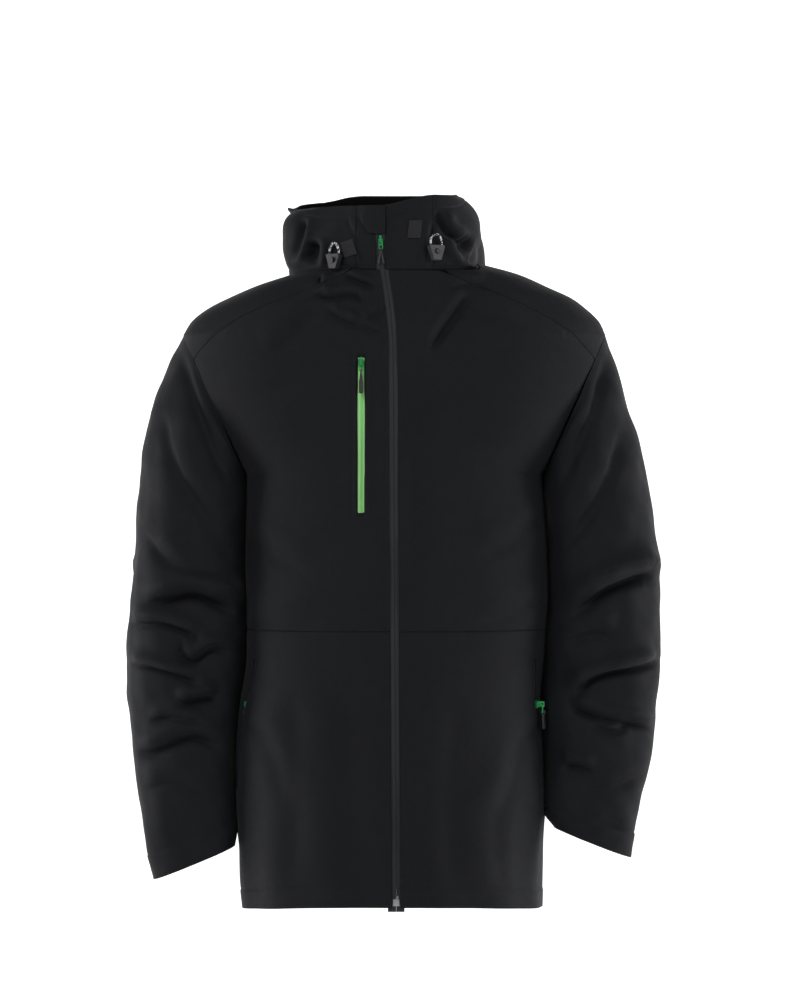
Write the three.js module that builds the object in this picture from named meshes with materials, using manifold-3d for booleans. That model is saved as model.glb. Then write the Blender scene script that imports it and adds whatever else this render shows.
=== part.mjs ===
// Hard-shell ski jacket, hood down, as it hangs on a pair of shoulders.
// Millimetres. +X is the wearer's left, -Y is the front, +Z is up.
// The origin is the middle of the neck's base, where the jacket rests on the shoulders.
import * as THREE from "three";
import { mergeVertices } from "three/addons/utils/BufferGeometryUtils.js";
import Module from "manifold-3d";

const wasm = await Module();
wasm.setup();

// ---------- driving dimensions ----------

const CLOTH = 2.4; // wall of a sewn shell panel
const SEAM = 0.5; // space between two panels sewn edge to edge
const YOKE_SEAM = 1.4; // the same along the slanting yoke seam
const CLEAR = 0.5; // space between pieces that touch or slide
const TAPE = 1.1; // thickness of a zip's woven tape

// body of the jacket
const HEM_Z = -750;
const WAIST_Z = -423; // seam between the upper and lower panels
const ARMPIT_Z = -240;
const SHOULDER_Z = -73; // top of the armhole
const NECK_Z = -0.6; // top edge of the body, under the collar
const BODY_HALF_WIDTH = 180;
const ARMPIT_HALF_WIDTH = BODY_HALF_WIDTH - 3;
const SHOULDER_HALF_WIDTH = BODY_HALF_WIDTH + 73;
const NECK_HALF_WIDTH = 121;
const BACK_HEM_Y = 130;
const BACK_NECK_Y = 80;
const FRONT_HEM_Y = -150; // the front edge is one straight line from here ...
const FRONT_NECK_Y = -109.5; // ... to here
const BODY_ROUNDNESS = 2.6; // exponent of the body's rounded oblong section
const ARMHOLE_FRONT = 72; // half widths of the armhole, forwards and backwards
const ARMHOLE_BACK = 80;
const YOKE_FRONT_NECK_X = 52; // the front yoke seam runs from the collar at this x ...
const YOKE_FRONT_ARM_Z = -104; // ... to the armhole at this height
const YOKE_BACK_Z = -112;

// front zip; its line leans a little to the wearer's right at the top
const ZIP_TOP_X = -16;
const ZIP_HEM_X = 1;
const ZIP_GROOVE = 5.2; // half width of the groove between the two fronts
const ZIP_SLIT = 1.1; // half width of the slit between the two tapes
const ZIP_TAPE_WIDTH = 10;
const ZIP_TOP_Z = 64; // top ends of the tapes
const SLIDER_TOP_Z = 34; // slider parked under the chin guard
const RETAINER_LENGTH = 9;

// collar and hood
const COLLAR_TOP_Z = 74;
const COLLAR_AXIS_Y = -15; // the neck's own axis
const COLLAR_SEAM_X = 47; // seam between the collar front and the hood
const HOOD_CENTRE_DEG = 36; // half angle of the hood's centre panel
const COLLAR_ROUNDNESS = 2.8; // exponent of the collar's rounded oblong plan

// sleeves
const ELBOW_Z = -438;
const CUFF_DROP = 281; // from the elbow down to the cuff's outer end
const LEFT_SLEEVE_RISE = 26; // the left cuff is pushed up this much

// pockets
const CHEST_ZIP_X = -38.8;
const CHEST_ZIP_TOP_Z = -101;
const CHEST_ZIP_LENGTH = 185;
const POCKET_GROOVE = 4.2; // half width of a pocket's opening
const POCKET_TAPE_WIDTH = 20;
const CHEST_SLIDER_DROP = 9; // the chest slider below its zip's top end
const HAND_ZIP_TOP_Z = WAIST_Z - 35;
const HAND_ZIP_LENGTH = 153;
const HAND_ZIP_TOP_DEG = 66; // place round the body, from the front
const HAND_ZIP_END_DEG = 78;
const HAND_SLIDER_DROP = 54; // a hand pocket's slider below its top end

// ---------- finishes ----------

const finish = (color, roughness, metalness = 0) =>
  new THREE.MeshStandardMaterial({ color, roughness, metalness });
const SHELL = finish(0x1d1e21, 0.85);
const TRIM = finish(0x2c2d30, 0.75);
const MESH_CLOTH = finish(0x232427, 0.9);
const GREEN_TAPE = finish(0x7cb96c, 0.7);
const GREEN_ENAMEL = finish(0x1f8a4a, 0.35, 0.6);
const BRIGHT_METAL = finish(0x9a9c9e, 0.4, 0.8);
const BLACK_PLASTIC = finish(0x161616, 0.5);
const GREY_PLASTIC = finish(0x3a3a3c, 0.55);
const CORD = finish(0x2a2a2c, 0.8);

const jacket = new THREE.Group();

// Adds one named piece to a group, which is the whole jacket unless another is given.
function add(name, geometry, material, group = jacket) {
  const mesh = new THREE.Mesh(geometry, material);
  mesh.name = name;
  group.add(mesh);
  return mesh;
}

// ---------- closed solids ----------

const { lerp, degToRad, clamp, smoothstep } = THREE.MathUtils;

// Welds a geometry by position only.
function welded(geometry) {
  const bare = new THREE.BufferGeometry();
  bare.setAttribute("position", geometry.getAttribute("position").clone());
  if (geometry.index) bare.setIndex(geometry.index.clone());
  return mergeVertices(bare, 1e-4);
}

function toSolid(geometry) {
  const g = welded(geometry);
  return new wasm.Manifold(
    new wasm.Mesh({
      numProp: 3,
      vertProperties: new Float32Array(g.attributes.position.array),
      triVerts: new Uint32Array(g.index.array),
    }),
  );
}

function fromSolid(solid) {
  const mesh = solid.getMesh();
  const g = new THREE.BufferGeometry();
  g.setAttribute("position", new THREE.BufferAttribute(mesh.vertProperties, 3));
  g.setIndex(new THREE.BufferAttribute(mesh.triVerts, 1));
  const flat = g.toNonIndexed();
  flat.computeVertexNormals();
  return flat;
}

const join = (...parts) =>
  fromSolid(parts.map(toSolid).reduce((a, b) => a.add(b)));
const cut = (body, ...tools) =>
  fromSolid(tools.map(toSolid).reduce((a, b) => a.subtract(b), toSolid(body)));

// Signed volume of an indexed grid, used to turn its faces outwards.
function signedVolume(points, faces) {
  const [a, b, c] = [0, 1, 2].map(() => new THREE.Vector3());
  let six = 0;
  for (let i = 0; i < faces.length; i += 3) {
    a.copy(points[faces[i]]);
    b.copy(points[faces[i + 1]]);
    c.copy(points[faces[i + 2]]);
    six += a.dot(b.cross(c));
  }
  return six / 6;
}

// A sheet of even thickness: at(u, v, side) gives a point of its outer face (side 0)
// or its inner face (side 1). A ring joins its last column to its first.
function sheet(columns, rows, at, ring = false) {
  const points = [];
  const faces = [];
  const across = ring ? columns : columns + 1;
  const id = (i, j, side) => ((i % across) * (rows + 1) + j) * 2 + side;
  for (let i = 0; i < across; i++)
    for (let j = 0; j <= rows; j++)
      for (const side of [0, 1]) points.push(at(i / columns, j / rows, side));
  const quad = (a, b, c, d) => faces.push(a, b, c, a, c, d);
  for (let i = 0; i < columns; i++) {
    for (let j = 0; j < rows; j++) {
      quad(id(i, j, 0), id(i + 1, j, 0), id(i + 1, j + 1, 0), id(i, j + 1, 0));
      quad(id(i, j, 1), id(i, j + 1, 1), id(i + 1, j + 1, 1), id(i + 1, j, 1));
    }
    quad(id(i, 0, 1), id(i + 1, 0, 1), id(i + 1, 0, 0), id(i, 0, 0));
    quad(id(i, rows, 0), id(i + 1, rows, 0), id(i + 1, rows, 1), id(i, rows, 1));
  }
  if (!ring)
    for (let j = 0; j < rows; j++) {
      quad(id(0, j, 0), id(0, j + 1, 0), id(0, j + 1, 1), id(0, j, 1));
      quad(id(columns, j, 1), id(columns, j + 1, 1), id(columns, j + 1, 0), id(columns, j, 0));
    }
  if (signedVolume(points, faces) < 0) faces.reverse();
  const g = new THREE.BufferGeometry().setFromPoints(points);
  g.setIndex(faces);
  const flat = g.toNonIndexed();
  flat.computeVertexNormals();
  return flat;
}

const box = (x0, x1, y0, y1, z0, z1) =>
  new THREE.BoxGeometry(x1 - x0, y1 - y0, z1 - z0).translate(
    (x0 + x1) / 2,
    (y0 + y1) / 2,
    (z0 + z1) / 2,
  );

// An outline in the XZ plane, made `thick` deep along Y and centred on y = 0.
function plate(shape, thick, curveSegments = 6) {
  const g = new THREE.ExtrudeGeometry(shape, { depth: thick, bevelEnabled: false, curveSegments });
  return g.translate(0, 0, -thick / 2).rotateX(Math.PI / 2);
}

// A rounded rectangle from (x0, z0) to (x1, z1).
function roundedRectangle(x0, x1, z0, z1, r) {
  const s = new THREE.Shape();
  s.absarc(x1 - r, z0 + r, r, -Math.PI / 2, 0);
  s.absarc(x1 - r, z1 - r, r, 0, Math.PI / 2);
  s.absarc(x0 + r, z1 - r, r, Math.PI / 2, Math.PI);
  s.absarc(x0 + r, z0 + r, r, Math.PI, Math.PI * 1.5);
  s.closePath();
  return s;
}

// A round cord along a curve.
function tube(curve, radius, steps, sides = 8) {
  const section = new THREE.Shape();
  section.absarc(0, 0, radius, 0, Math.PI * 2);
  return new THREE.ExtrudeGeometry(section, {
    steps,
    curveSegments: sides / 2,
    bevelEnabled: false,
    extrudePath: curve,
  });
}

// A smooth function of one variable through a few (position, value) pairs.
function through(pairs) {
  const curve = new THREE.SplineCurve(pairs.map(([x, y]) => new THREE.Vector2(x, y)));
  const samples = curve.getPoints(pairs.length * 24);
  return (x) => {
    let k = samples.findIndex((p) => p.x >= x);
    if (k < 0) k = samples.length - 1;
    if (k === 0) return samples[0].y;
    const [a, b] = [samples[k - 1], samples[k]];
    return lerp(a.y, b.y, clamp((x - a.x) / (b.x - a.x), 0, 1));
  };
}

// ---------- the body's surface ----------

const frontY = (z) => lerp(FRONT_HEM_Y, FRONT_NECK_Y, (z - HEM_Z) / -HEM_Z);
const zipX = (z) => lerp(ZIP_HEM_X, ZIP_TOP_X, (z - HEM_Z) / (SLIDER_TOP_Z - HEM_Z));

const HIP_Z = HEM_Z + 150;
const backY = through([
  [HEM_Z, BACK_HEM_Y],
  [HIP_Z, BACK_HEM_Y - 4],
  [WAIST_Z, BACK_HEM_Y - 8],
  [ARMPIT_Z - 60, BACK_HEM_Y + 4],
  [ARMPIT_Z + 40, BACK_HEM_Y + 9],
  [SHOULDER_Z - 37, BACK_HEM_Y - 3],
  [SHOULDER_Z + 23, BACK_NECK_Y + 23],
  [NECK_Z, BACK_NECK_Y],
]);
const lowerHalfWidth = through([
  [HEM_Z, BODY_HALF_WIDTH + 2],
  [HIP_Z, BODY_HALF_WIDTH + 1],
  [WAIST_Z, BODY_HALF_WIDTH],
  [ARMPIT_Z, ARMPIT_HALF_WIDTH],
]);

// The shoulder slope, as shares of the way up to the neck and of the way in to it.
const shoulderHalfWidth = through(
  [[0, 0], [0.262, 0.098], [0.456, 0.242], [0.649, 0.455], [0.842, 0.705], [1, 1]].map(
    ([up, inwards]) => [
      lerp(SHOULDER_Z, NECK_Z, up),
      lerp(SHOULDER_HALF_WIDTH, NECK_HALF_WIDTH, inwards),
    ],
  ),
);

// The armhole is an oval in a flat, slanting plane.
const ARMHOLE_MID_Z = (ARMPIT_Z + SHOULDER_Z) / 2;
const ARMHOLE_RISE = (SHOULDER_Z - ARMPIT_Z) / 2;
const armholePlaneX = (z) =>
  lerp(ARMPIT_HALF_WIDTH, SHOULDER_HALF_WIDTH, (z - ARMPIT_Z) / (SHOULDER_Z - ARMPIT_Z));
function armholeHalf(z, widest) {
  const t = (z - ARMHOLE_MID_Z) / ARMHOLE_RISE;
  return widest * Math.sqrt(Math.max(0, 1 - t * t));
}

const power = (value, exponent) => Math.sign(value) * Math.abs(value) ** exponent;

// Half width of the body's section at a height, in front of the side line or behind it.
// Beside the armhole it is what brings the section through the armhole's edge.
function halfWidth(z, front) {
  if (z <= ARMPIT_Z) return lowerHalfWidth(z);
  if (z >= SHOULDER_Z) return shoulderHalfWidth(z);
  const depth = front ? -frontY(z) : backY(z);
  const edge = armholeHalf(z, front ? ARMHOLE_FRONT : ARMHOLE_BACK) / depth;
  return armholePlaneX(z) / (1 - edge ** BODY_ROUNDNESS) ** (1 / BODY_ROUNDNESS);
}

// The body at an angle from the front (0) to the back (pi), positive to the wearer's left,
// at a height, and at a depth under its outer face.
function bodyPoint(angle, z, depth = 0) {
  const front = Math.cos(angle) > 0;
  const a = halfWidth(z, front) - depth;
  const b = (front ? -frontY(z) : backY(z)) - depth;
  return new THREE.Vector3(
    a * power(Math.sin(angle), 2 / BODY_ROUNDNESS),
    -b * power(Math.cos(angle), 2 / BODY_ROUNDNESS),
    z,
  );
}

// Outward normal of the body at an angle and a height.
function bodyNormal(angle, z) {
  const step = 0.01;
  const round = bodyPoint(angle + step, z).sub(bodyPoint(angle - step, z));
  const up = bodyPoint(angle, z + 1).sub(bodyPoint(angle, z - 1));
  return round.cross(up).normalize();
}

// The angle at which the front of the body has a given x, or a side of it a given y.
const angleAtX = (x, z) =>
  Math.asin(clamp(power(x / halfWidth(z, true), BODY_ROUNDNESS / 2), -1, 1));
function angleAtY(y, z) {
  const depth = y < 0 ? -frontY(z) : backY(z);
  return Math.acos(clamp(power(-y / depth, BODY_ROUNDNESS / 2), -1, 1));
}

// The armhole's edge, or the side seam under it, as an angle at a height.
function sideEdge(z, front) {
  if (z <= ARMPIT_Z || z >= SHOULDER_Z) return Math.PI / 2;
  const half = armholeHalf(z, front ? ARMHOLE_FRONT : ARMHOLE_BACK);
  return angleAtY(front ? -half : half, z);
}

const SEAM_ANGLE = SEAM / 2 / BODY_HALF_WIDTH;

// Height at a share v of a panel, with one row of points exactly at the armpit.
const ARMPIT_SHARE = 0.3;
function rowHeight(bottom, top, v) {
  if (bottom >= ARMPIT_Z || top <= ARMPIT_Z) return lerp(bottom, top, v);
  return v < ARMPIT_SHARE
    ? lerp(bottom, ARMPIT_Z, v / ARMPIT_SHARE)
    : lerp(ARMPIT_Z, top, (v - ARMPIT_SHARE) / (1 - ARMPIT_SHARE));
}

// One panel of the body on one side: top and bottom are heights as a function of u.
function bodyPanel(columns, rows, side, from, to, bottom, top, wall = [0, CLOTH]) {
  return sheet(columns, rows, (u, v, face) => {
    const z = rowHeight(bottom(u), top(u), v);
    return bodyPoint(side * lerp(from(z), to(z), u), z, wall[face]);
  });
}

const grooveEdge = (side) => (z) => side * angleAtX(zipX(z) + side * ZIP_GROOVE, z);
const frontSideEdge = (z) => sideEdge(z, true) - SEAM_ANGLE;
const backSideEdge = (z) => sideEdge(z, false) + SEAM_ANGLE;

// Height of the front yoke seam at an angle from the front of the body.
const yokeNeckAngle = angleAtX(YOKE_FRONT_NECK_X, NECK_Z);
const yokeArmAngle = frontSideEdge(YOKE_FRONT_ARM_Z);
const yokeSeamZ = (angle) =>
  lerp(
    NECK_Z,
    YOKE_FRONT_ARM_Z,
    clamp((angle - yokeNeckAngle) / (yokeArmAngle - yokeNeckAngle), 0, 1),
  );

// Where a monotonic test turns from true to false between two values.
function bisect(low, high, stillLow) {
  for (let k = 0; k < 40; k++) {
    const mid = (low + high) / 2;
    if (stillLow(mid)) low = mid;
    else high = mid;
  }
  return (low + high) / 2;
}

// Top edge of a front panel: along the collar, then down the yoke seam to the armhole.
const frontTop = (side) => (u) =>
  bisect(YOKE_FRONT_ARM_Z - YOKE_SEAM, NECK_Z, (z) => {
    const angle = lerp(grooveEdge(side)(z), frontSideEdge(z), u);
    return z < yokeSeamZ(angle) - YOKE_SEAM;
  });

function handZipLine(side) {
  const top = bodyPoint(side * degToRad(HAND_ZIP_TOP_DEG), HAND_ZIP_TOP_Z);
  const end = bodyPoint(side * degToRad(HAND_ZIP_END_DEG), HAND_ZIP_TOP_Z - HAND_ZIP_LENGTH);
  return [top, end];
}

// A frame on a surface: Z up along the zip, -Y outwards, X across.
function zipFrame(top, end, outward) {
  const up = top.clone().sub(end).normalize();
  const out = outward.clone().addScaledVector(up, -outward.dot(up)).normalize();
  const across = new THREE.Vector3().crossVectors(up.clone(), out).normalize();
  const group = new THREE.Group();
  const basis = new THREE.Matrix4().makeBasis(across, out.clone().negate(), up);
  group.quaternion.setFromRotationMatrix(basis);
  group.position.copy(top);
  return group;
}

const handZipFrame = (side) => {
  const [top, end] = handZipLine(side);
  const mid = degToRad((HAND_ZIP_TOP_DEG + HAND_ZIP_END_DEG) / 2);
  return zipFrame(top, end, bodyNormal(side * mid, HAND_ZIP_TOP_Z - HAND_ZIP_LENGTH / 2));
};
const chestZipFrame = () => {
  const at = (z) => bodyPoint(angleAtX(CHEST_ZIP_X, z), z);
  const outward = new THREE.Vector3(0, -1, 0);
  return zipFrame(at(CHEST_ZIP_TOP_Z), at(CHEST_ZIP_TOP_Z - CHEST_ZIP_LENGTH), outward);
};

// A slot through a panel, in the frame of the zip that lies in it.
function slotTool(frame, length) {
  const reach = 14;
  const tool = box(-POCKET_GROOVE, POCKET_GROOVE, -reach, reach, -length, 0);
  frame.updateMatrixWorld(true);
  return tool.applyMatrix4(frame.matrixWorld);
}

const chestFrame = chestZipFrame();

for (const [side, hand] of [[-1, "right"], [1, "left"]]) {
  const upper = bodyPanel(
    12, 10, side, grooveEdge(side), frontSideEdge, () => WAIST_Z + SEAM / 2, frontTop(side),
  );
  const slots = side < 0 ? [slotTool(chestFrame, CHEST_ZIP_LENGTH)] : [];
  add("front_upper_" + hand, slots.length ? cut(upper, ...slots) : upper, SHELL);
  const lower = bodyPanel(
    12, 4, side, grooveEdge(side), frontSideEdge, () => HEM_Z, () => WAIST_Z - SEAM / 2,
  );
  const pocket = slotTool(handZipFrame(side), HAND_ZIP_LENGTH);
  add("front_lower_" + hand, cut(lower, pocket), SHELL);
}

// The back panels run from one side seam round to the other.
function backPanel(columns, rows, bottom, top) {
  return sheet(columns, rows, (u, v, face) => {
    const z = rowHeight(bottom, top, v);
    const edge = backSideEdge(z);
    return bodyPoint(lerp(edge, 2 * Math.PI - edge, u), z, CLOTH * face);
  });
}
add("back_lower", backPanel(18, 4, HEM_Z, WAIST_Z - SEAM / 2), SHELL);
add("back_upper", backPanel(18, 10, WAIST_Z + SEAM / 2, YOKE_BACK_Z - SEAM / 2), SHELL);

// A yoke lies over one shoulder, from the front seam past the armhole to the middle of the back.
function yokeBottom(angle) {
  const armBack = backSideEdge(YOKE_BACK_Z);
  if (angle <= yokeArmAngle) return yokeSeamZ(angle);
  if (angle >= armBack) return YOKE_BACK_Z + SEAM / 2;
  const front = angle < Math.PI / 2;
  const low = front ? YOKE_FRONT_ARM_Z : YOKE_BACK_Z;
  const inFrontOfEdge = (z) =>
    front ? frontSideEdge(z) < angle : backSideEdge(z) > angle;
  return bisect(low, SHOULDER_Z, inFrontOfEdge) + SEAM;
}
function yoke(side) {
  const armBack = backSideEdge(YOKE_BACK_Z);
  const start = yokeNeckAngle + 0.06 * (yokeArmAngle - yokeNeckAngle);
  const stretches = [
    [start, yokeArmAngle, 8],
    [yokeArmAngle, Math.PI / 2, 5],
    [Math.PI / 2, armBack, 5],
    [armBack, Math.PI - SEAM_ANGLE, 7],
  ];
  const angles = stretches.flatMap(([from, to, steps]) =>
    Array.from({ length: steps }, (_, k) => lerp(from, to, k / steps)),
  );
  angles.push(Math.PI - SEAM_ANGLE);
  const columns = angles.length - 1;
  return sheet(columns, 5, (u, v, face) => {
    const angle = angles[Math.round(u * columns)];
    const z = lerp(yokeBottom(angle), NECK_Z, v);
    return bodyPoint(side * angle, z, CLOTH * face);
  });
}
add("yoke_right", yoke(-1), SHELL);
add("yoke_left", yoke(1), SHELL);

// ---------- sleeves ----------

// A sleeve's cross-sections, from the armhole to the cuff: the outer and the inner end of
// each, then how far it reaches forwards and backwards and where its middle lies along Y.
const SLEEVE_GAP = 0.8; // between the armhole's edge and the sleeve
const CUFF_OUTER_Z = ELBOW_Z - CUFF_DROP;
const ELBOW_SECTION = 4;
const BAND_SECTION = 7;

// Down to the elbow a height is a share of the drop to it from the armhole's top or foot;
// below, it is a share of the drop from the elbow to the cuff. Widths and reaches are
// measured beyond the armhole's own.
function sleeveSection([outX, outShare, inX, inShare, front, back, y], k) {
  const below = k > ELBOW_SECTION;
  const height = (top, share) =>
    below ? lerp(ELBOW_Z, CUFF_OUTER_Z, share) : lerp(top, ELBOW_Z, share);
  return {
    outer: [SHOULDER_HALF_WIDTH + outX, height(SHOULDER_Z, outShare)],
    inner: [ARMPIT_HALF_WIDTH + inX, height(ARMPIT_Z, inShare)],
    front: ARMHOLE_FRONT + front,
    back: ARMHOLE_BACK + back,
    y,
  };
}
const sleeveSections = [
  [0, 0, 0, 0, 0, 0, 0],
  [29, 0.134, 9, 0.111, 4, 2, 0],
  [47, 0.37, 11, 0.303, 7, 1, 0],
  [56, 0.622, 10, 0.566, 6, -2, 1],
  [68, 1, 10, 1, 3, -5, 0],
  [64, 0.263, 11, 0.256, -6, -12, -6],
  [53, 0.612, 14, 0.569, -18, -24, -20],
  [39, 0.897, 14, 0.772, -30, -36, -34],
  [33, 1, 13, 0.861, -33, -40, -39],
].map(sleeveSection);

// A point of a sleeve section: 0 degrees is the outer end, 90 the front.
function sectionPoint(section, angle, depth, raise, side) {
  const [ox, oz] = section.outer;
  const [ix, iz] = section.inner;
  const half = Math.hypot(ox - ix, oz - iz) / 2;
  const along = ((half - depth) / half) * Math.cos(angle);
  const reach = Math.sin(angle) > 0 ? section.front : section.back;
  const x = (ox + ix) / 2 + ((ox - ix) / 2) * along;
  const z = (oz + iz) / 2 + ((oz - iz) / 2) * along;
  const lift = z < ELBOW_Z ? (raise * (ELBOW_Z - z)) / CUFF_DROP : 0;
  return new THREE.Vector3(side * x, section.y - (reach - depth) * Math.sin(angle), z + lift);
}

// A stretch of sleeve between two sections, pulled back from each end by a gap.
function sleevePiece(from, to, side, raise, gapStart, gapEnd) {
  const rows = to - from;
  const at = (angle, t, depth) => {
    const k = clamp(Math.floor(t), from, to - 1);
    const a = sectionPoint(sleeveSections[k], angle, depth, raise, side);
    const b = sectionPoint(sleeveSections[k + 1], angle, depth, raise, side);
    return a.lerp(b, t - k);
  };
  return sheet(24, rows, (u, v, face) => {
    const angle = u * 2 * Math.PI;
    const p = at(angle, lerp(from, to, v), CLOTH * face);
    const gap = v === 0 ? gapStart : v === 1 ? -gapEnd : 0;
    const next = at(angle, lerp(from, to, v === 0 ? 0.01 : 1), CLOTH * face);
    const last = at(angle, lerp(from, to, v === 0 ? 0 : 0.99), CLOTH * face);
    return gap ? p.addScaledVector(next.sub(last).normalize(), gap) : p;
  }, true);
}

// A small piece on the back of a cuff, wrapped round it from one angle to another.
function cuffPiece(side, raise, fromDeg, toDeg, low, high, rise, thick) {
  const bandAt = (angle, t, depth) =>
    sectionPoint(sleeveSections[BAND_SECTION], angle, depth, raise, side).lerp(
      sectionPoint(sleeveSections[BAND_SECTION + 1], angle, depth, raise, side),
      t,
    );
  return sheet(6, 1, (u, v, face) => {
    const angle = degToRad(lerp(fromDeg, toDeg, u));
    return bandAt(angle, lerp(high, low, v), -rise - thick * (1 - face));
  });
}

const CUFF_TAB_HINGE_DEG = 300; // the tab is sewn down at this angle round the cuff
const CUFF_TAB_END_DEG = 346;

for (const [side, hand] of [[-1, "right"], [1, "left"]]) {
  const raise = side > 0 ? LEFT_SLEEVE_RISE : 0;
  const seam = SEAM / 2;
  const last = sleeveSections.length - 1;
  add("sleeve_upper_" + hand, sleevePiece(0, ELBOW_SECTION, side, raise, SLEEVE_GAP, seam), SHELL);
  add(
    "sleeve_lower_" + hand,
    sleevePiece(ELBOW_SECTION, BAND_SECTION, side, raise, seam, seam),
    SHELL,
  );
  add("cuff_" + hand, sleevePiece(BAND_SECTION, last, side, raise, seam, 0), SHELL);
  add(
    "cuff_loop_strip_" + hand,
    cuffPiece(side, raise, CUFF_TAB_HINGE_DEG + 5, CUFF_TAB_END_DEG + 12, 0.84, 0.2, CLEAR, 0.8),
    TRIM,
  );
  add(
    "cuff_tab_" + hand,
    cuffPiece(side, raise, CUFF_TAB_HINGE_DEG, CUFF_TAB_END_DEG, 0.9, 0.14, 2 * CLEAR + 0.8, 1.6),
    TRIM,
  );
}

// ---------- collar and hood ----------

// The collar and the folded-down hood are one surface round the neck's axis. Its section,
// as (distance from the axis, height) from the neck seam to the free edge, changes from a
// hanging bag behind to a rolled edge at the sides and a plain wall in front.
// The distances are measured beyond the body's own neck edge.
const backSection = [
  [8, 2], [33, -30], [51, -70], [71, -104], [97, -122],
  [121, -112], [129, -70], [115, -10], [83, 52], [43, 92],
].map(([out, z]) => [BACK_NECK_Y - COLLAR_AXIS_Y + out, z]);
const sideSection = [
  [-8, 2], [-2, 7], [5, 15], [11, 27], [15, 42],
  [16, 57], [13, 68], [8, 75], [2, 79], [-4, 81],
].map(([out, z]) => [NECK_HALF_WIDTH + out, z]);
const frontSection = Array.from({ length: 10 }, (_, k) => [
  lerp(COLLAR_AXIS_Y - frontY(0), COLLAR_AXIS_Y - frontY(COLLAR_TOP_Z), k / 9),
  lerp(0, COLLAR_TOP_Z, k / 9),
]);

// Shares of the three sections at an angle from the middle of the back.
function sectionAt(angle) {
  const away = Math.abs(THREE.MathUtils.radToDeg(angle));
  const back = 1 - smoothstep(away, 14, 66);
  const front = smoothstep(away, 100, 150);
  const rest = 1 - back - front;
  return backSection.map(([r, z], k) => {
    const radius = back * r + rest * sideSection[k][0] + front * frontSection[k][0];
    const height = back * z + rest * sideSection[k][1] + front * frontSection[k][1];
    return new THREE.Vector2(radius, height);
  });
}

// A point of the collar or hood: angle from the middle of the back, positive to the
// wearer's left; share of the way from the neck seam to the free edge; depth under the face.
function hoodPoint(angle, share, depth = 0) {
  const profile = new THREE.SplineCurve(sectionAt(angle));
  const p = profile.getPoint(clamp(share, 0, 1));
  const tangent = profile.getTangent(clamp(share, 0, 1));
  const r = p.x - depth * tangent.y;
  const z = p.y + depth * tangent.x;
  const n = COLLAR_ROUNDNESS;
  const [s, c] = [Math.sin(angle), Math.cos(angle)];
  const round = r * (Math.abs(s) ** n + Math.abs(c) ** n) ** (-1 / n);
  return new THREE.Vector3(round * s, COLLAR_AXIS_Y + round * c, z);
}

// The angle from the back at which the collar's front has a given x.
const collarAngleAtX = (x) => {
  const angle = Math.PI - Math.atan2(Math.abs(x), COLLAR_AXIS_Y - frontY(COLLAR_TOP_Z / 2));
  return Math.sign(x) * angle;
};
function hoodPanel(columns, rows, from, to, low = 0, high = 1, wall = [0, CLOTH]) {
  return sheet(columns, rows, (u, v, face) => {
    const share = lerp(low, high, v);
    return hoodPoint(lerp(from(share), to(share), u), share, wall[face]);
  });
}

const hoodSeam = SEAM / 110;
const centreEdge = degToRad(HOOD_CENTRE_DEG);
const always = (angle) => () => angle;
// The front edge of the collar on one side, as an angle that may pass the front's middle.
const collarFrontEdge = (side) => (share) => {
  const z = COLLAR_TOP_Z * share;
  const x = zipX(z) + side * ZIP_GROOVE;
  const front = COLLAR_AXIS_Y - frontY(z);
  return side * Math.PI - Math.atan2(x, front);
};
add(
  "hood_centre",
  hoodPanel(8, 11, always(-centreEdge), always(centreEdge)),
  SHELL,
);
for (const [side, hand] of [[-1, "right"], [1, "left"]]) {
  const seamAngle = collarAngleAtX(side * COLLAR_SEAM_X);
  add(
    "hood_side_" + hand,
    hoodPanel(13, 11, always(side * (centreEdge + hoodSeam)), always(seamAngle)),
    SHELL,
  );
  add(
    "collar_" + hand,
    hoodPanel(8, 5, always(seamAngle + side * hoodSeam), collarFrontEdge(side)),
    SHELL,
  );
}

// The chin guard covers the top of the zip's right-hand side.
add(
  "chin_guard",
  hoodPanel(
    5, 3, always(collarAngleAtX(-44)), (share) => collarFrontEdge(-1)(share),
    0.64, 0.985, [-CLEAR - 1.2, -CLEAR],
  ),
  SHELL,
);

// Reflective patches on the collar, turned a little in their own plane.
function collarPatch(x, share, width, height, turnDeg) {
  const angle = collarAngleAtX(x);
  const perMm = 1 / 100;
  const turn = degToRad(turnDeg);
  return sheet(2, 2, (u, v, face) => {
    const [across, up] = [(u - 0.5) * width, (v - 0.5) * height];
    const s = across * Math.cos(turn) - up * Math.sin(turn);
    const t = across * Math.sin(turn) + up * Math.cos(turn);
    return hoodPoint(angle - s * perMm, share + t / COLLAR_TOP_Z, [-CLEAR - 0.8, -CLEAR][face]);
  });
}
add("collar_patch_right", collarPatch(-57, 0.33, 15, 18, 18), TRIM);
add("collar_patch_left", collarPatch(24, 0.56, 16, 18, -8), TRIM);

// ---------- drawcord locks ----------

const LOCK = { top: 19, foot: 9, height: 17, thick: 8, standoff: 4.2 };
const BUTTON = { radius: 3, proud: 2.2, well: 5 };
const CORD_RADIUS = 1.3;
const CORD_SPREAD = 7; // half the distance between the cord's two ends
const CORD_FOOT = 3; // straight up from the lock before the cord bends over
const CORD_ARCH = 13; // top of the loop above the lock

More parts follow.
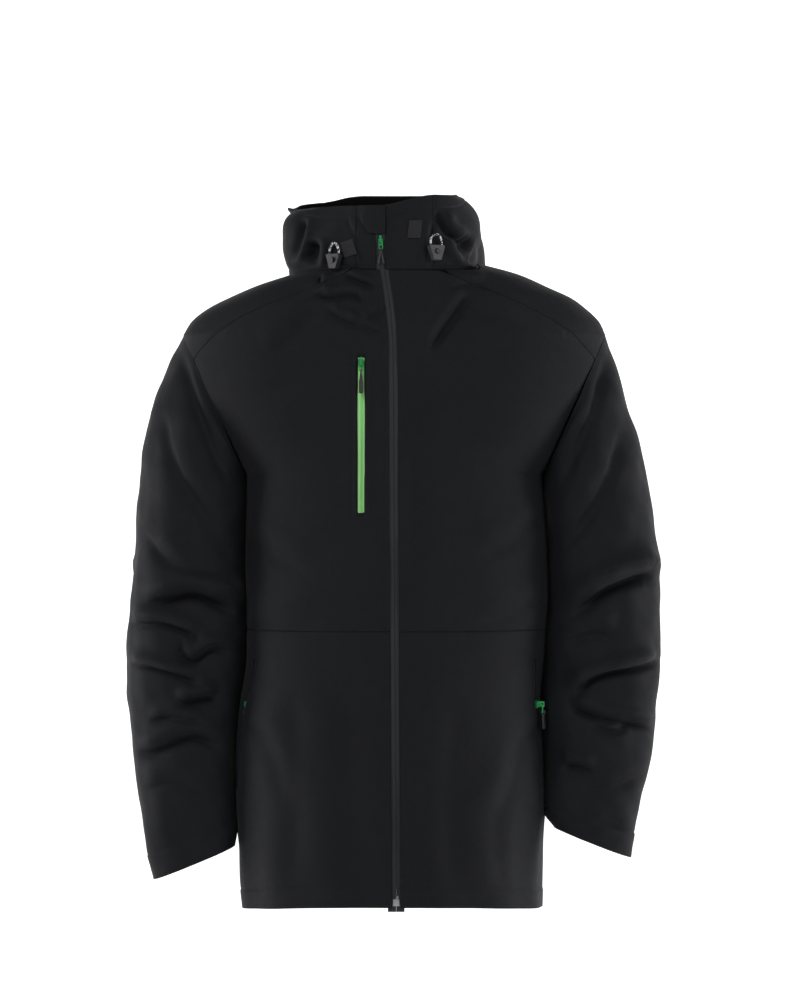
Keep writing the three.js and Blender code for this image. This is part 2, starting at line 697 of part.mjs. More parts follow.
function lockBody() {
  const s = new THREE.Shape();
  s.moveTo(-LOCK.foot / 2, -LOCK.height);
  s.lineTo(LOCK.foot / 2, -LOCK.height);
  s.lineTo(LOCK.top / 2, -2);
  s.quadraticCurveTo(LOCK.top / 2, 0, LOCK.top / 2 - 2, 0);
  s.lineTo(-LOCK.top / 2 + 2, 0);
  s.quadraticCurveTo(-LOCK.top / 2, 0, -LOCK.top / 2, -2);
  s.closePath();
  const well = new THREE.CylinderGeometry(
    BUTTON.radius + CLEAR, BUTTON.radius + CLEAR, BUTTON.well * 2, 20,
  ).translate(0, -LOCK.thick / 2, -LOCK.height * 0.42);
  return cut(plate(s, LOCK.thick), well);
}
function lockButton() {
  const length = BUTTON.well - CLEAR - 2 + BUTTON.proud;
  return new THREE.CylinderGeometry(BUTTON.radius, BUTTON.radius, length, 20).translate(
    0,
    -LOCK.thick / 2 - BUTTON.proud + length / 2,
    -LOCK.height * 0.42,
  );
}
// The pull loop leaves the lock's top, arches over and goes back in beside itself.
function lockCord() {
  const points = Array.from({ length: 13 }, (_, k) => {
    const t = (k / 12) * Math.PI;
    const z = CORD_FOOT + (CORD_ARCH - CORD_FOOT) * Math.sin(t);
    return new THREE.Vector3(-CORD_SPREAD * Math.cos(t), 0, z);
  });
  const first = new THREE.Vector3(-CORD_SPREAD, 0, CLEAR);
  const last = new THREE.Vector3(CORD_SPREAD, 0, CLEAR);
  return tube(new THREE.CatmullRomCurve3([first, ...points, last]), CORD_RADIUS, 20);
}

for (const [hand, x, share] of [["right", -73, 0.24], ["left", 47, 0.36]]) {
  const angle = collarAngleAtX(x);
  const at = hoodPoint(angle, share);
  const up = hoodPoint(angle, share + 0.1).sub(hoodPoint(angle, share - 0.1)).normalize();
  const out = new THREE.Vector3(at.x, at.y - COLLAR_AXIS_Y, 0).normalize();
  const frame = zipFrame(at, at.clone().sub(up), out);
  frame.translateY(-LOCK.thick / 2 - LOCK.standoff);
  jacket.add(frame);
  add("cord_lock_" + hand, lockBody(), hand === "left" ? GREY_PLASTIC : BLACK_PLASTIC, frame);
  add("lock_button_" + hand, lockButton(), BLACK_PLASTIC, frame);
  add("hood_cord_" + hand, lockCord(), CORD, frame);
}

// ---------- zips ----------

// Sizes of a slider, its tab and its cord puller.
const BAR = 0.55; // half thickness of the bars that the tab and puller turn on
const TAB_THICK = 1.1;
const RING_RADIUS = 2.5;
const RING_WIRE = 0.8;
const BRIDGE_WIDTH = 2;
const BRIDGE_THICK = 1.1;
const TURNING_ROOM = 0.6; // round the tab's bar inside the bridge

// A slider with its bridge. The tape's face is y = 0 and the tab turns about (y, z) = axis.
function slider(size, axisY, rearFace) {
  const { width, length, plateThick } = size;
  const face = new THREE.Shape();
  face.moveTo(-width * 0.36, -length / 2);
  face.lineTo(width * 0.36, -length / 2);
  face.quadraticCurveTo(width * 0.4, 0, width / 2, length * 0.2);
  face.quadraticCurveTo(width / 2, length / 2, width * 0.22, length / 2);
  face.lineTo(-width * 0.22, length / 2);
  face.quadraticCurveTo(-width / 2, length / 2, -width / 2, length * 0.2);
  face.quadraticCurveTo(-width * 0.4, 0, -width * 0.36, -length / 2);
  const top = plate(face, plateThick).translate(0, -CLEAR - plateThick / 2, 0);
  const arch = new THREE.Shape();
  const outerY = -CLEAR - plateThick + 0.3;
  const crown = axisY - BAR - TURNING_ROOM - BRIDGE_THICK;
  const half = length * 0.36;
  arch.moveTo(-half, -outerY);
  arch.lineTo(half, -outerY);
  arch.lineTo(half, -crown - 1);
  arch.quadraticCurveTo(half, -crown, half - 1, -crown);
  arch.lineTo(-half + 1, -crown);
  arch.quadraticCurveTo(-half, -crown, -half, -crown - 1);
  arch.closePath();
  const tunnel = new THREE.Path();
  const [tz, ty] = [1.5, TURNING_ROOM + BAR];
  tunnel.moveTo(-tz, -axisY - ty);
  tunnel.lineTo(-tz, -axisY + ty);
  tunnel.lineTo(tz, -axisY + ty);
  tunnel.lineTo(tz, -axisY - ty);
  tunnel.closePath();
  arch.holes.push(tunnel);
  // drawn as (z, -y), so it is turned to stand on the plate with its width along X
  const bridge = new THREE.ExtrudeGeometry(arch, {
    depth: BRIDGE_WIDTH,
    bevelEnabled: false,
    curveSegments: 4,
  });
  bridge.translate(0, 0, -BRIDGE_WIDTH / 2);
  bridge.applyMatrix4(new THREE.Matrix4().set(0, 0, 1, 0, 0, -1, 0, 0, 1, 0, 0, 0, 0, 0, 0, 1));
  if (!rearFace) return join(top, bridge);
  const rear = plate(face, plateThick).translate(0, rearFace + CLEAR + plateThick / 2, 0);
  const post = box(-0.6, 0.6, -CLEAR - 0.5, rearFace + CLEAR + 0.5, length * 0.1, length * 0.4);
  return join(top, bridge, rear, post);
}

// A pull tab: a frame whose top bar runs through the bridge and whose foot holds the puller.
function tab(width, length) {
  const s = roundedRectangle(-width / 2, width / 2, -length - BAR, BAR, 0.5);
  const window = (x, z0, z1) => {
    const p = new THREE.Path();
    p.moveTo(-x, z0);
    p.lineTo(-x, z1);
    p.lineTo(x, z1);
    p.lineTo(x, z0);
    p.closePath();
    return p;
  };
  s.holes.push(window(1.6, -5.4, -BAR));
  s.holes.push(window(1.4, -length + BAR, -length + 4));
  return plate(s, TAB_THICK, 3);
}

function ring() {
  const g = new THREE.TorusGeometry(RING_RADIUS, RING_WIRE, 8, 18);
  return g.rotateY(Math.PI / 2);
}
// A forked puller of two cord tails, or a single moulded grip.
function forkedPuller(length) {
  const tail = (side) =>
    new THREE.CylinderGeometry(0.9, 1.5, length, 10)
      .rotateX(Math.PI / 2)
      .translate(0, 0, -length / 2)
      .rotateY(side * -0.16)
      .translate(side * 0.5, 0, -RING_RADIUS + 0.2);
  return join(ring(), tail(-1), tail(1));
}
function gripPuller(length, width) {
  const s = new THREE.Shape();
  const top = -RING_RADIUS + 0.2;
  s.moveTo(-1, top);
  s.lineTo(-width / 2, top - length * 0.45);
  s.lineTo(-width / 2, top - length + 1.5);
  s.quadraticCurveTo(-width / 2, top - length, 0, top - length);
  s.quadraticCurveTo(width / 2, top - length, width / 2, top - length + 1.5);
  s.lineTo(width / 2, top - length * 0.45);
  s.lineTo(1, top);
  s.closePath();
  return join(ring(), plate(s, 2.4, 5));
}

// Slider, tab and puller of one zip, at a distance below the top of its frame.
function zipPull(frame, name, drop, size, axisY, rearFace, puller) {
  const stand = new THREE.Group();
  stand.position.set(0, 0, -drop);
  frame.add(stand);
  add(name + "_slider", slider(size, axisY, rearFace), GREEN_ENAMEL, stand);
  const swing = new THREE.Group();
  swing.position.set(0, axisY, 0);
  stand.add(swing);
  add(name + "_tab", tab(size.tabWidth, size.tabLength), GREEN_ENAMEL, swing);
  const hang = new THREE.Group();
  hang.position.set(0, 0, -size.tabLength);
  swing.add(hang);
  add(name + "_puller", puller, CORD, hang);
}

// The front zip's frame: origin on the outer face of its tapes, at the parked slider.
const zipPoint = (z) => new THREE.Vector3(zipX(z), frontY(z), z);
const frontFrame = zipFrame(zipPoint(SLIDER_TOP_Z), zipPoint(HEM_Z), new THREE.Vector3(0, -1, 0));
jacket.add(frontFrame);
const TAPE_DEPTH = CLOTH + 1.6; // tapes lie behind the fronts, which are not quite flat there
const zipLength = zipPoint(SLIDER_TOP_Z).distanceTo(zipPoint(HEM_Z));
const tapeTop = zipPoint(SLIDER_TOP_Z).distanceTo(zipPoint(ZIP_TOP_Z));
const tapes = new THREE.Group();
tapes.position.set(0, TAPE_DEPTH, 0);
frontFrame.add(tapes);
for (const [side, hand] of [[-1, "right"], [1, "left"]]) {
  const [a, b] = [side * ZIP_SLIT, side * (ZIP_SLIT + ZIP_TAPE_WIDTH)];
  const foot = -zipLength + RETAINER_LENGTH + 1;
  const strip = box(Math.min(a, b), Math.max(a, b), 0, TAPE, foot, tapeTop);
  add("zip_tape_" + hand, strip, TRIM, tapes);
}
const retainer = { width: 8.4, thick: 3.4, channel: 1 };
const retainerZ = -zipLength + RETAINER_LENGTH;
const pinTool = box(
  0.8, 0.8 + 2 * retainer.channel, TAPE / 2 - retainer.channel, TAPE / 2 + retainer.channel,
  retainerZ - RETAINER_LENGTH + 2, retainerZ + 1,
);
add(
  "zip_retainer_box",
  cut(
    box(
      -retainer.width / 2, retainer.width / 2, TAPE / 2 - retainer.thick / 2,
      TAPE / 2 + retainer.thick / 2, retainerZ - RETAINER_LENGTH + 1, retainerZ,
    ),
    pinTool,
  ),
  BRIGHT_METAL,
  tapes,
);
add(
  "zip_insertion_pin",
  box(
    0.8 + 0.35, 0.8 + 2 * retainer.channel - 0.35, TAPE / 2 - retainer.channel + 0.35,
    TAPE / 2 + retainer.channel - 0.35, retainerZ - RETAINER_LENGTH + 2.5, retainerZ + 0.6,
  ),
  BRIGHT_METAL,
  tapes,
);

const frontSize = { width: 9, length: 11, plateThick: 1.5, tabWidth: 5, tabLength: 11 };
const frontAxisY = -TAPE_DEPTH - 2.4; // brings the puller clear of the fronts
zipPull(tapes, "front_zip", 0, frontSize, frontAxisY, TAPE, forkedPuller(15));

// Pocket zips: the tape lies behind its slot, and one thick slider body fills the groove.
const POCKET_TAPE_DEPTH = CLOTH + 3;
const pocketSize = { width: 7, length: 9, plateThick: 3.4, tabWidth: 4.8, tabLength: 10 };
const pocketAxisY = -POCKET_TAPE_DEPTH - RING_RADIUS - RING_WIRE - CLEAR;
function pocketZip(name, frame, length, drop, grip) {
  jacket.add(frame);
  const tapeGroup = new THREE.Group();
  tapeGroup.position.set(0, POCKET_TAPE_DEPTH, 0);
  frame.add(tapeGroup);
  const half = POCKET_TAPE_WIDTH / 2;
  add(name + "_zip_tape", box(-half, half, 0, TAPE, -length - 6, 6), GREEN_TAPE, tapeGroup);
  const puller = gripPuller(grip, 5);
  zipPull(tapeGroup, name + "_zip", drop, pocketSize, pocketAxisY, null, puller);
}
pocketZip("chest", chestFrame, CHEST_ZIP_LENGTH, CHEST_SLIDER_DROP, 24);
pocketZip("right_hand", handZipFrame(-1), HAND_ZIP_LENGTH, HAND_SLIDER_DROP, 18);
pocketZip("left_hand", handZipFrame(1), HAND_ZIP_LENGTH, HAND_SLIDER_DROP, 18);

// Pocket bags, pressed flat behind the fronts.
const BAG_DEPTH = CLOTH + 7.1;
const BAG_THICK = 2;
function pocketBag(name, side, nearX, farAngle, bottom, top) {
  const near = (z) => Math.abs(angleAtX(nearX, z));
  const wall = [BAG_DEPTH, BAG_DEPTH + BAG_THICK];
  const bag = bodyPanel(8, 3, side, near, always(farAngle), always(bottom), always(top), wall);
  add(name, bag, MESH_CLOTH);
}
const chestBagFoot = CHEST_ZIP_TOP_Z - CHEST_ZIP_LENGTH - 44;
pocketBag("chest_pocket_bag", -1, -30, degToRad(50), chestBagFoot, CHEST_ZIP_TOP_Z - 4);
const handBag = [degToRad(82), HEM_Z + 60, HAND_ZIP_TOP_Z + 8];
pocketBag("right_hand_pocket_bag", -1, -45, ...handBag);
pocketBag("left_hand_pocket_bag", 1, 45, ...handBag);

// ---------- inside ----------

// The powder skirt hangs from the inside of the body and draws in to its elastic edge.
const SKIRT_TOP_Z = WAIST_Z - 77;
const SKIRT_HEIGHT = 100;
add(
  "powder_skirt",
  sheet(36, 2, (u, v, face) => {
    const angle = u * 2 * Math.PI;
    const front = smoothstep(Math.cos(angle), -0.5, 0.1);
    const sewn = lerp(CLOTH + SEAM, BAG_DEPTH + BAG_THICK + CLEAR + 2, front);
    const depth = lerp(sewn + 14, sewn, v) + 1.5 * face;
    return bodyPoint(angle, SKIRT_TOP_Z - SKIRT_HEIGHT * (1 - v), depth);
  }, true),
  MESH_CLOTH,
);

// The hanging loop is sewn inside the back of the neck.
const LOOP = { width: 64, height: 15, strap: 4, thick: 1.6, belowNeck: 12 };
const loopOutline = roundedRectangle(-LOOP.width / 2, LOOP.width / 2, -LOOP.height, 0, 3);
const loopWindow = new THREE.Path();
const [loopX, loopZ] = [LOOP.width / 2 - LOOP.strap, LOOP.height - LOOP.strap];
loopWindow.moveTo(-loopX, -loopZ);
loopWindow.lineTo(-loopX, -LOOP.strap);
loopWindow.lineTo(loopX, -LOOP.strap);
loopWindow.lineTo(loopX, -loopZ);
loopWindow.closePath();
loopOutline.holes.push(loopWindow);
add(
  "hanging_loop",
  plate(loopOutline, LOOP.thick).translate(0, backY(NECK_Z) - CLOTH - 6, NECK_Z - LOOP.belowNeck),
  TRIM,
);

export default jacket;
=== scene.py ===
import math

import bmesh
import bpy
import numpy as np
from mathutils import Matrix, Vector


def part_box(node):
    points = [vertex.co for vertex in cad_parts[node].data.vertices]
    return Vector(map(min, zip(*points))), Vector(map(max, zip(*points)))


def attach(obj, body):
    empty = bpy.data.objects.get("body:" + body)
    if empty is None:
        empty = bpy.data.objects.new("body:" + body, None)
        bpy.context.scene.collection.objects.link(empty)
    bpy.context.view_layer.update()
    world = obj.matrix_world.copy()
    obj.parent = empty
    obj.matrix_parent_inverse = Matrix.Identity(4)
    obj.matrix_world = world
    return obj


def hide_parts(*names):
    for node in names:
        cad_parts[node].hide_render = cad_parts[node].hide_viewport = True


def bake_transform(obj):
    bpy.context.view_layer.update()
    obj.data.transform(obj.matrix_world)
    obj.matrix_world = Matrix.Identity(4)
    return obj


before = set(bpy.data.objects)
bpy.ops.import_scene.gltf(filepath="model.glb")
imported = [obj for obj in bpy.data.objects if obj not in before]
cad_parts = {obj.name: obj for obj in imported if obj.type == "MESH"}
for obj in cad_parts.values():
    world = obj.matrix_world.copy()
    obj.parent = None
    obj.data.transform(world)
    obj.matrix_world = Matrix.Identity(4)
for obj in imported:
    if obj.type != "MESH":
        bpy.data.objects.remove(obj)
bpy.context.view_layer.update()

# A hard-shell ski jacket, hood down. Lengths are millimetres until a mesh is made.
# +X is the wearer's left, -Y the front, +Z up, and the origin the middle of the neck's base.

MM = 0.001

# ---------- sizes that the cloth shares with the frame ----------

HEM_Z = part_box("front_lower_left")[0].z / MM
WAIST_Z = (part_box("front_lower_left")[1].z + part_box("front_upper_left")[0].z) / 2 / MM
SHOULDER_X = 253.0
SHOULDER_Z = -73.0
ARMPIT_X = 177.0
ARMPIT_Z = -240.0
ARMHOLE_FRONT = 72.0
ARMHOLE_BACK = 80.0
ELBOW_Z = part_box("sleeve_upper_left")[0].z / MM
BODY_ROUNDNESS = 2.6
COLLAR_ROUNDNESS = 2.8
COLLAR_AXIS_Y = -15.0
COLLAR_TOP = 74.0
FRONT_NECK_Y = -109.5
FRONT_HEM_Y = -150.0
SHELL_THICK = 1.3  # laminate, taped seam and turning together
GROOVE = 5.0  # half width of the front zip that shows

# ---------- small mathematics ----------


def smoothstep(x, low, high):
    t = np.clip((np.asarray(x, float) - low) / (high - low), 0, 1)
    return t * t * (3 - 2 * t)


def lerp(a, b, t):
    return a + (b - a) * t


def smooth_through(pairs):
    """A smooth function through a few (position, value) pairs; values may be vectors."""
    pairs = sorted(pairs, key=lambda p: p[0])
    x = np.array([p[0] for p in pairs], float)
    y = np.array([p[1] for p in pairs], float)
    slope = np.gradient(y, x, axis=0)

    def at(q):
        q = np.clip(np.asarray(q, float), x[0], x[-1])
        k = np.clip(np.searchsorted(x, q) - 1, 0, len(x) - 2)
        h = x[k + 1] - x[k]
        t = (q - x[k]) / h
        if y.ndim > 1:
            h, t = h[..., None], t[..., None]
        a, b = y[k], y[k + 1]
        ma, mb = slope[k] * h, slope[k + 1] * h
        return (
            (2 * t**3 - 3 * t**2 + 1) * a + (t**3 - 2 * t**2 + t) * ma
            + (3 * t**2 - 2 * t**3) * b + (t**3 - t**2) * mb
        )

    return at


def signed_power(v, e):
    return np.sign(v) * np.abs(v) ** e


def normals_of(points, ring=False):
    """Unit normals of a grid of points, columns first; they point along du x dv."""
    if ring:
        wide = np.concatenate([points[-2:-1], points, points[1:2]])
        du = (wide[2:] - wide[:-2])
    else:
        du = np.gradient(points, axis=0)
    dv = np.gradient(points, axis=1)
    n = np.cross(du, dv)
    return n / np.maximum(np.linalg.norm(n, axis=-1, keepdims=True), 1e-9)


def ripple(p, seed, size, height):
    """Gentle unevenness of cloth: a few crossed waves of about one size."""
    rng = np.random.default_rng(seed)
    out = np.zeros(p.shape[:-1])
    for _ in range(7):
        d = rng.normal(size=3)
        d /= np.linalg.norm(d)
        k = 2 * math.pi / (size * rng.uniform(0.7, 1.5))
        out += np.sin(p @ d * k + rng.uniform(0, 6.28))
    return out * height / 3.5


def fold(a, b, route, height, width, kind="roll", ends=0.25):
    """Displacement of a fold that follows a route of (a, b) points on the cloth.
    A roll stands out on the left of the route and sinks on its right; a bump only stands out,
    a line only sinks and a sharp crease has a soft lip on its left."""
    route = np.array(route, float)
    s = np.linspace(0, 1, len(route))
    fine = smooth_through(list(zip(s, route)))(np.linspace(0, 1, 28))
    near = np.full(a.shape, 1e9)
    side = np.zeros(a.shape)
    along = np.zeros(a.shape)
    steps = len(fine) - 1
    for k in range(steps):
        p, d = fine[k], fine[k + 1] - fine[k]
        length2 = max(d @ d, 1e-9)
        t = np.clip(((a - p[0]) * d[0] + (b - p[1]) * d[1]) / length2, 0, 1)
        dx, dy = a - (p[0] + t * d[0]), b - (p[1] + t * d[1])
        dist = np.hypot(dx, dy)
        closer = dist < near
        near = np.where(closer, dist, near)
        side = np.where(closer, d[0] * dy - d[1] * dx, side)
        along = np.where(closer, (k + t) / steps, along)
    x = np.sign(side) * near / width
    if kind == "roll":
        x = np.where(x < 0, x * 2.3, x)  # the underside of a roll is the steeper one
    fade = smoothstep(along, -1e-6, ends) * smoothstep(1 - along, -1e-6, ends)
    fade = np.where(ends > 0, fade, 1)
    if kind == "roll":
        shape = x * np.exp(0.5 - x * x / 2)
    elif kind == "bump":
        shape = np.exp(-(x * x))
    elif kind == "sharp":
        shape = -np.exp(-((x * 1.6) ** 2)) + 0.75 * np.exp(-((x - 1.5) ** 2))
    else:
        shape = -np.exp(-(x * x))
    return height * fade * shape


# ---------- meshes ----------

def facing_out(verts, faces):
    """The same faces, all turned round if together they enclose a negative volume."""
    v = np.asarray(verts, float)
    corner = v[[f[0] for f in faces]]
    total = 0.0
    for a, b in ((1, 2), (2, 3)):
        has = [len(f) > b for f in faces]
        p = v[[f[a] for f, h in zip(faces, has) if h]]
        q = v[[f[b] for f, h in zip(faces, has) if h]]
        total += np.einsum("ij,ij->", corner[has], np.cross(p, q))
    return [f[::-1] for f in faces] if total < 0 else faces


def new_object(name, verts, faces, material, uv=None):
    mesh = bpy.data.meshes.new(name)
    faces = facing_out(verts, faces)
    mesh.from_pydata((np.asarray(verts, float) * MM).tolist(), [], faces)
    mesh.validate()
    mesh.shade_smooth()
    if uv is not None:
        layer = mesh.uv_layers.new(name="cloth")
        index = np.empty(len(mesh.loops), int)
        mesh.loops.foreach_get("vertex_index", index)
        layer.data.foreach_set("uv", (uv[index] * MM).astype(np.float32).ravel())
    obj = bpy.data.objects.new(name, mesh)
    bpy.context.scene.collection.objects.link(obj)
    mesh.materials.append(material)
    return obj


def cloth(name, points, material, thick=SHELL_THICK, ring=False, flip=False, lining=None,
          given=None, lips=(True, True), flat_held=""):
    """A closed sheet from a grid of outer points: the inner face lies a thickness inside
    and the free edges are rounded over, unless a lip meets the next length of the cloth."""
    n = normals_of(points, ring) * (-1 if flip else 1) if given is None else given
    if ring:
        points, n = points[:-1], n[:-1]
    cols, rows = points.shape[:2]
    lip = (thick * 0.3 * lips[0], thick * 0.3 * lips[1])
    middle = points - n * thick / 2

    def edge_row(j, towards):
        out = points[:, j] - points[:, towards]
        out /= np.maximum(np.linalg.norm(out, axis=-1, keepdims=True), 1e-9)
        return (middle[:, j] + out * lip[j])[:, None]

    inner = points - n * thick
    # one loop down the outside, round the lip, up the inside and round the other lip
    band = np.concatenate(
        [edge_row(0, 1), points, edge_row(-1, -2), inner[:, ::-1]], axis=1
    )
    around = band.shape[1]
    verts = band.reshape(-1, 3)
    seams_u = np.concatenate([[0], np.cumsum(np.linalg.norm(np.diff(points[:, rows // 2], axis=0), axis=-1))])
    seams_v = np.concatenate([[0], np.cumsum(np.linalg.norm(np.diff(points[cols // 2], axis=0), axis=-1))])
    v_loop = np.concatenate([[0], seams_v, [seams_v[-1]], seams_v[::-1]])
    uv = np.stack(np.meshgrid(seams_u, v_loop, indexing="ij"), -1).reshape(-1, 2)
    faces, inside = [], []
    wide = cols if ring else cols - 1
    for i in range(wide):
        a, b = i * around, ((i + 1) % cols) * around
        for j in range(around):
            k = (j + 1) % around
            quad = (a + j, b + j, b + k, a + k)
            faces.append(quad[::-1] if flip else quad)
            inside.append(rows + 2 <= j < around - 1)
    if not ring:
        for i, other in ((0, False), (cols - 1, True)):
            base = i * around
            for j in range(1, rows):
                inner_j = around - j
                quad = (base + j, base + j + 1, base + inner_j - 1, base + inner_j)
                faces.append(quad[::-1] if other != flip else quad)
                inside.append(False)
            for tip, ja, jb in ((0, 1, around - 1), (rows + 1, rows + 2, rows)):
                tri = (base + tip, base + ja, base + jb)
                faces.append(tri[::-1] if other != flip else tri)
                inside.append(False)
    obj = new_object(name, verts, faces, material, uv)
    if flat_held:
        wide = float(np.linalg.norm(np.diff(points, axis=0), axis=-1).sum(0).max() * MM)
    if given is not None:
        each = np.concatenate([n[:, :1], n, n[:, -1:], -n[:, ::-1]], axis=1)
        obj.data.normals_split_custom_set_from_vertices(each.reshape(-1, 3).tolist())
    if lining is not None:
        obj.data.materials.append(lining)
        index = np.zeros(len(obj.data.polygons), np.int32)
        index[: len(inside)] = np.array(inside, np.int32)
        obj.data.polygons.foreach_set("material_index", index)
    return obj


def wear(obj, body, slot, *nodes):
    """The piece rides on a body and stands for CAD nodes, which it hides; the slot is not used."""
    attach(obj, body)
    if nodes:
        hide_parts(*nodes)
    return obj


# ---------- materials ----------


def linear(hexa):
    out = []
    for k in (0, 2, 4):
        c = int(hexa[k:k + 2], 16) / 255
        out.append(c / 12.92 if c <= 0.04045 else ((c + 0.055) / 1.055) ** 2.4)
    return (*out, 1.0)


def add_node(tree, kind, sets=None, **links):
    """Adds a node with its settings; links and socket values go by input name or number."""
    node = tree.nodes.new(kind)
    for key, value in (sets or {}).items():
        setattr(node, key, value)
    for key, value in links.items():
        name = key.replace("_", " ")
        socket = node.inputs[int(key[1:])] if key[0] == "i" and key[1:].isdigit() else node.inputs[name]
        if isinstance(value, bpy.types.NodeSocket):
            tree.links.new(value, socket)
        else:
            socket.default_value = value
    return node


def new_material(name, **values):
    mat = bpy.data.materials.new(name)
    mat.use_nodes = True
    shader = mat.node_tree.nodes["Principled BSDF"]
    for key, value in values.items():
        shader.inputs[key.replace("_", " ")].default_value = value
    return mat, mat.node_tree, shader


def woven_nylon(name, dark, light, thread=0.9, roughness=0.72, sheen=0.12, weave=0.35):
    """Woven nylon face cloth, piece-dyed and water-repellent: nearly matt, with a fine plain
    weave and a slight bloom at grazing angles. Threads are 0.3 mm apart in the real cloth and
    are drawn coarser so that they show."""
    mat, tree, shader = new_material(name, Sheen_Weight=sheen, Sheen_Roughness=0.45, IOR=1.5)
    shader.inputs["Specular IOR Level"].default_value = 0.16
    place = add_node(tree, "ShaderNodeTexCoord")
    held, cut = place.outputs["Object"], place.outputs["UV"]
    blotch = add_node(tree, "ShaderNodeTexNoise", Vector=held, Scale=14.0, Detail=5.0, Roughness=0.6)
    tone = add_node(tree, "ShaderNodeMix", {"data_type": "RGBA"}, Factor=blotch.outputs["Fac"])
    tone.inputs[6].default_value = linear(dark)
    tone.inputs[7].default_value = linear(light)
    tree.links.new(tone.outputs[2], shader.inputs["Base Color"])
    per_metre = 2 * math.pi / (thread * MM) / 20  # a wave texture's bands are 20 to a turn
    warp = add_node(tree, "ShaderNodeTexWave", {"bands_direction": "X"}, Vector=cut, Scale=per_metre)
    weft = add_node(tree, "ShaderNodeTexWave", {"bands_direction": "Y"}, Vector=cut, Scale=per_metre)
    cross = add_node(
        tree, "ShaderNodeMath", {"operation": "MULTIPLY"}, i0=warp.outputs["Fac"], i1=weft.outputs["Fac"]
    )
    crumple = add_node(
        tree, "ShaderNodeTexNoise", Vector=held, Scale=120.0, Detail=4.0, Roughness=0.55
    )
    soft = add_node(tree, "ShaderNodeBump", Strength=0.25, Distance=0.0012, Height=crumple.outputs["Fac"])
    fine = add_node(tree, "ShaderNodeBump", Strength=weave, Distance=0.00012,
                    Height=cross.outputs["Value"], Normal=soft.outputs["Normal"])
    tree.links.new(fine.outputs["Normal"], shader.inputs["Normal"])
    worn = add_node(tree, "ShaderNodeMapRange", Value=crumple.outputs["Fac"])
    worn.inputs["To Min"].default_value = roughness - 0.07
    worn.inputs["To Max"].default_value = roughness + 0.1
    tree.links.new(worn.outputs["Result"], shader.inputs["Roughness"])
    return mat


def braid(name, dark, tracer):
    """Braided sheath of an elastic cord, black with a pale tracer yarn that shows as flecks."""
    mat, tree, shader = new_material(name, Roughness=0.7, IOR=1.5)
    place = add_node(tree, "ShaderNodeTexCoord")
    cells = add_node(tree, "ShaderNodeTexVoronoi", Vector=place.outputs["Object"], Scale=620.0)
    chosen = add_node(tree, "ShaderNodeSeparateColor", Color=cells.outputs["Color"])
    fleck = add_node(tree, "ShaderNodeMath", {"operation": "GREATER_THAN"}, i0=chosen.outputs["Red"], i1=0.6)
    tone = add_node(tree, "ShaderNodeMix", {"data_type": "RGBA"}, Factor=fleck.outputs["Value"])
    tone.inputs[6].default_value = linear(dark)
    tone.inputs[7].default_value = linear(tracer)
    tree.links.new(tone.outputs[2], shader.inputs["Base Color"])
    bump = add_node(tree, "ShaderNodeBump", Strength=0.8, Distance=0.0003, Height=cells.outputs["Distance"])
    tree.links.new(bump.outputs["Normal"], shader.inputs["Normal"])
    return mat


def moulded(name, tone, roughness, metallic=0.0, coat=0.0, grain=0.3):
    """A moulded or cast piece: an even colour with a slightly uneven skin."""
    mat, tree, shader = new_material(name, Metallic=metallic, Coat_Weight=coat, Coat_Roughness=0.12)
    place = add_node(tree, "ShaderNodeTexCoord")
    skin = add_node(tree, "ShaderNodeTexNoise", Vector=place.outputs["Object"], Scale=900.0, Detail=3.0)
    shade = add_node(tree, "ShaderNodeMix", {"data_type": "RGBA"}, Factor=skin.outputs["Fac"])
    base = linear(tone)
    shade.inputs[6].default_value = tuple(0.82 * c for c in base[:3]) + (1.0,)
    shade.inputs[7].default_value = tuple(min(1, 1.12 * c) for c in base[:3]) + (1.0,)
    tree.links.new(shade.outputs[2], shader.inputs["Base Color"])
    uneven = add_node(tree, "ShaderNodeMapRange", Value=skin.outputs["Fac"])
    uneven.inputs["To Min"].default_value = roughness - 0.05
    uneven.inputs["To Max"].default_value = roughness + 0.08
    tree.links.new(uneven.outputs["Result"], shader.inputs["Roughness"])
    bump = add_node(tree, "ShaderNodeBump", Strength=grain, Distance=0.00008, Height=skin.outputs["Fac"])
    tree.links.new(bump.outputs["Normal"], shader.inputs["Normal"])
    return mat


NYLON = woven_nylon("woven_nylon_face", "0E0F12", "141519", sheen=0.03)
NYLON_INNER = woven_nylon("tricot_backer_print", "0E0D0E", "141416", thread=1.2, roughness=0.8, sheen=0.05)
ZIP_CLOTH = woven_nylon("coated_zip_tape", "25262A", "303136", thread=0.7, roughness=0.5, sheen=0.05)
GREEN_CLOTH = woven_nylon("green_coated_zip_tape", "A0E690", "AEF09E", thread=0.7, roughness=0.5, sheen=0.05)
BAG_CLOTH = woven_nylon("light_woven_pocket_cloth", "1C1D20", "25262A", thread=0.6, roughness=0.7, sheen=0.05)
LOOP_PILE = woven_nylon("hook_and_loop_webbing", "1A1A1C", "26262A", thread=1.4, roughness=0.95,
                        sheen=0.3, weave=0.8)
PATCH_CLOTH = woven_nylon("heat_bonded_reinforcement_film", "1E1E20", "28282A", thread=0.6, roughness=0.6)
ENAMEL = moulded("green_enamelled_zinc", "1E9A50", 0.3, metallic=0.25, coat=0.6)
PULLER = moulded("black_thermoplastic_rubber", "26262A", 0.55)
BLACK_ACETAL = moulded("black_moulded_acetal", "151517", 0.42)
GREY_ACETAL = moulded("grey_moulded_acetal", "343436", 0.45)
BRIGHT_METAL = moulded("nickel_plated_zinc", "A6A8AA", 0.35, metallic=0.9)
CORD_BRAID = braid("braided_shock_cord_with_tracer", "1D1D1F", "C9CACB")

# ---------- camera, light and floor ----------


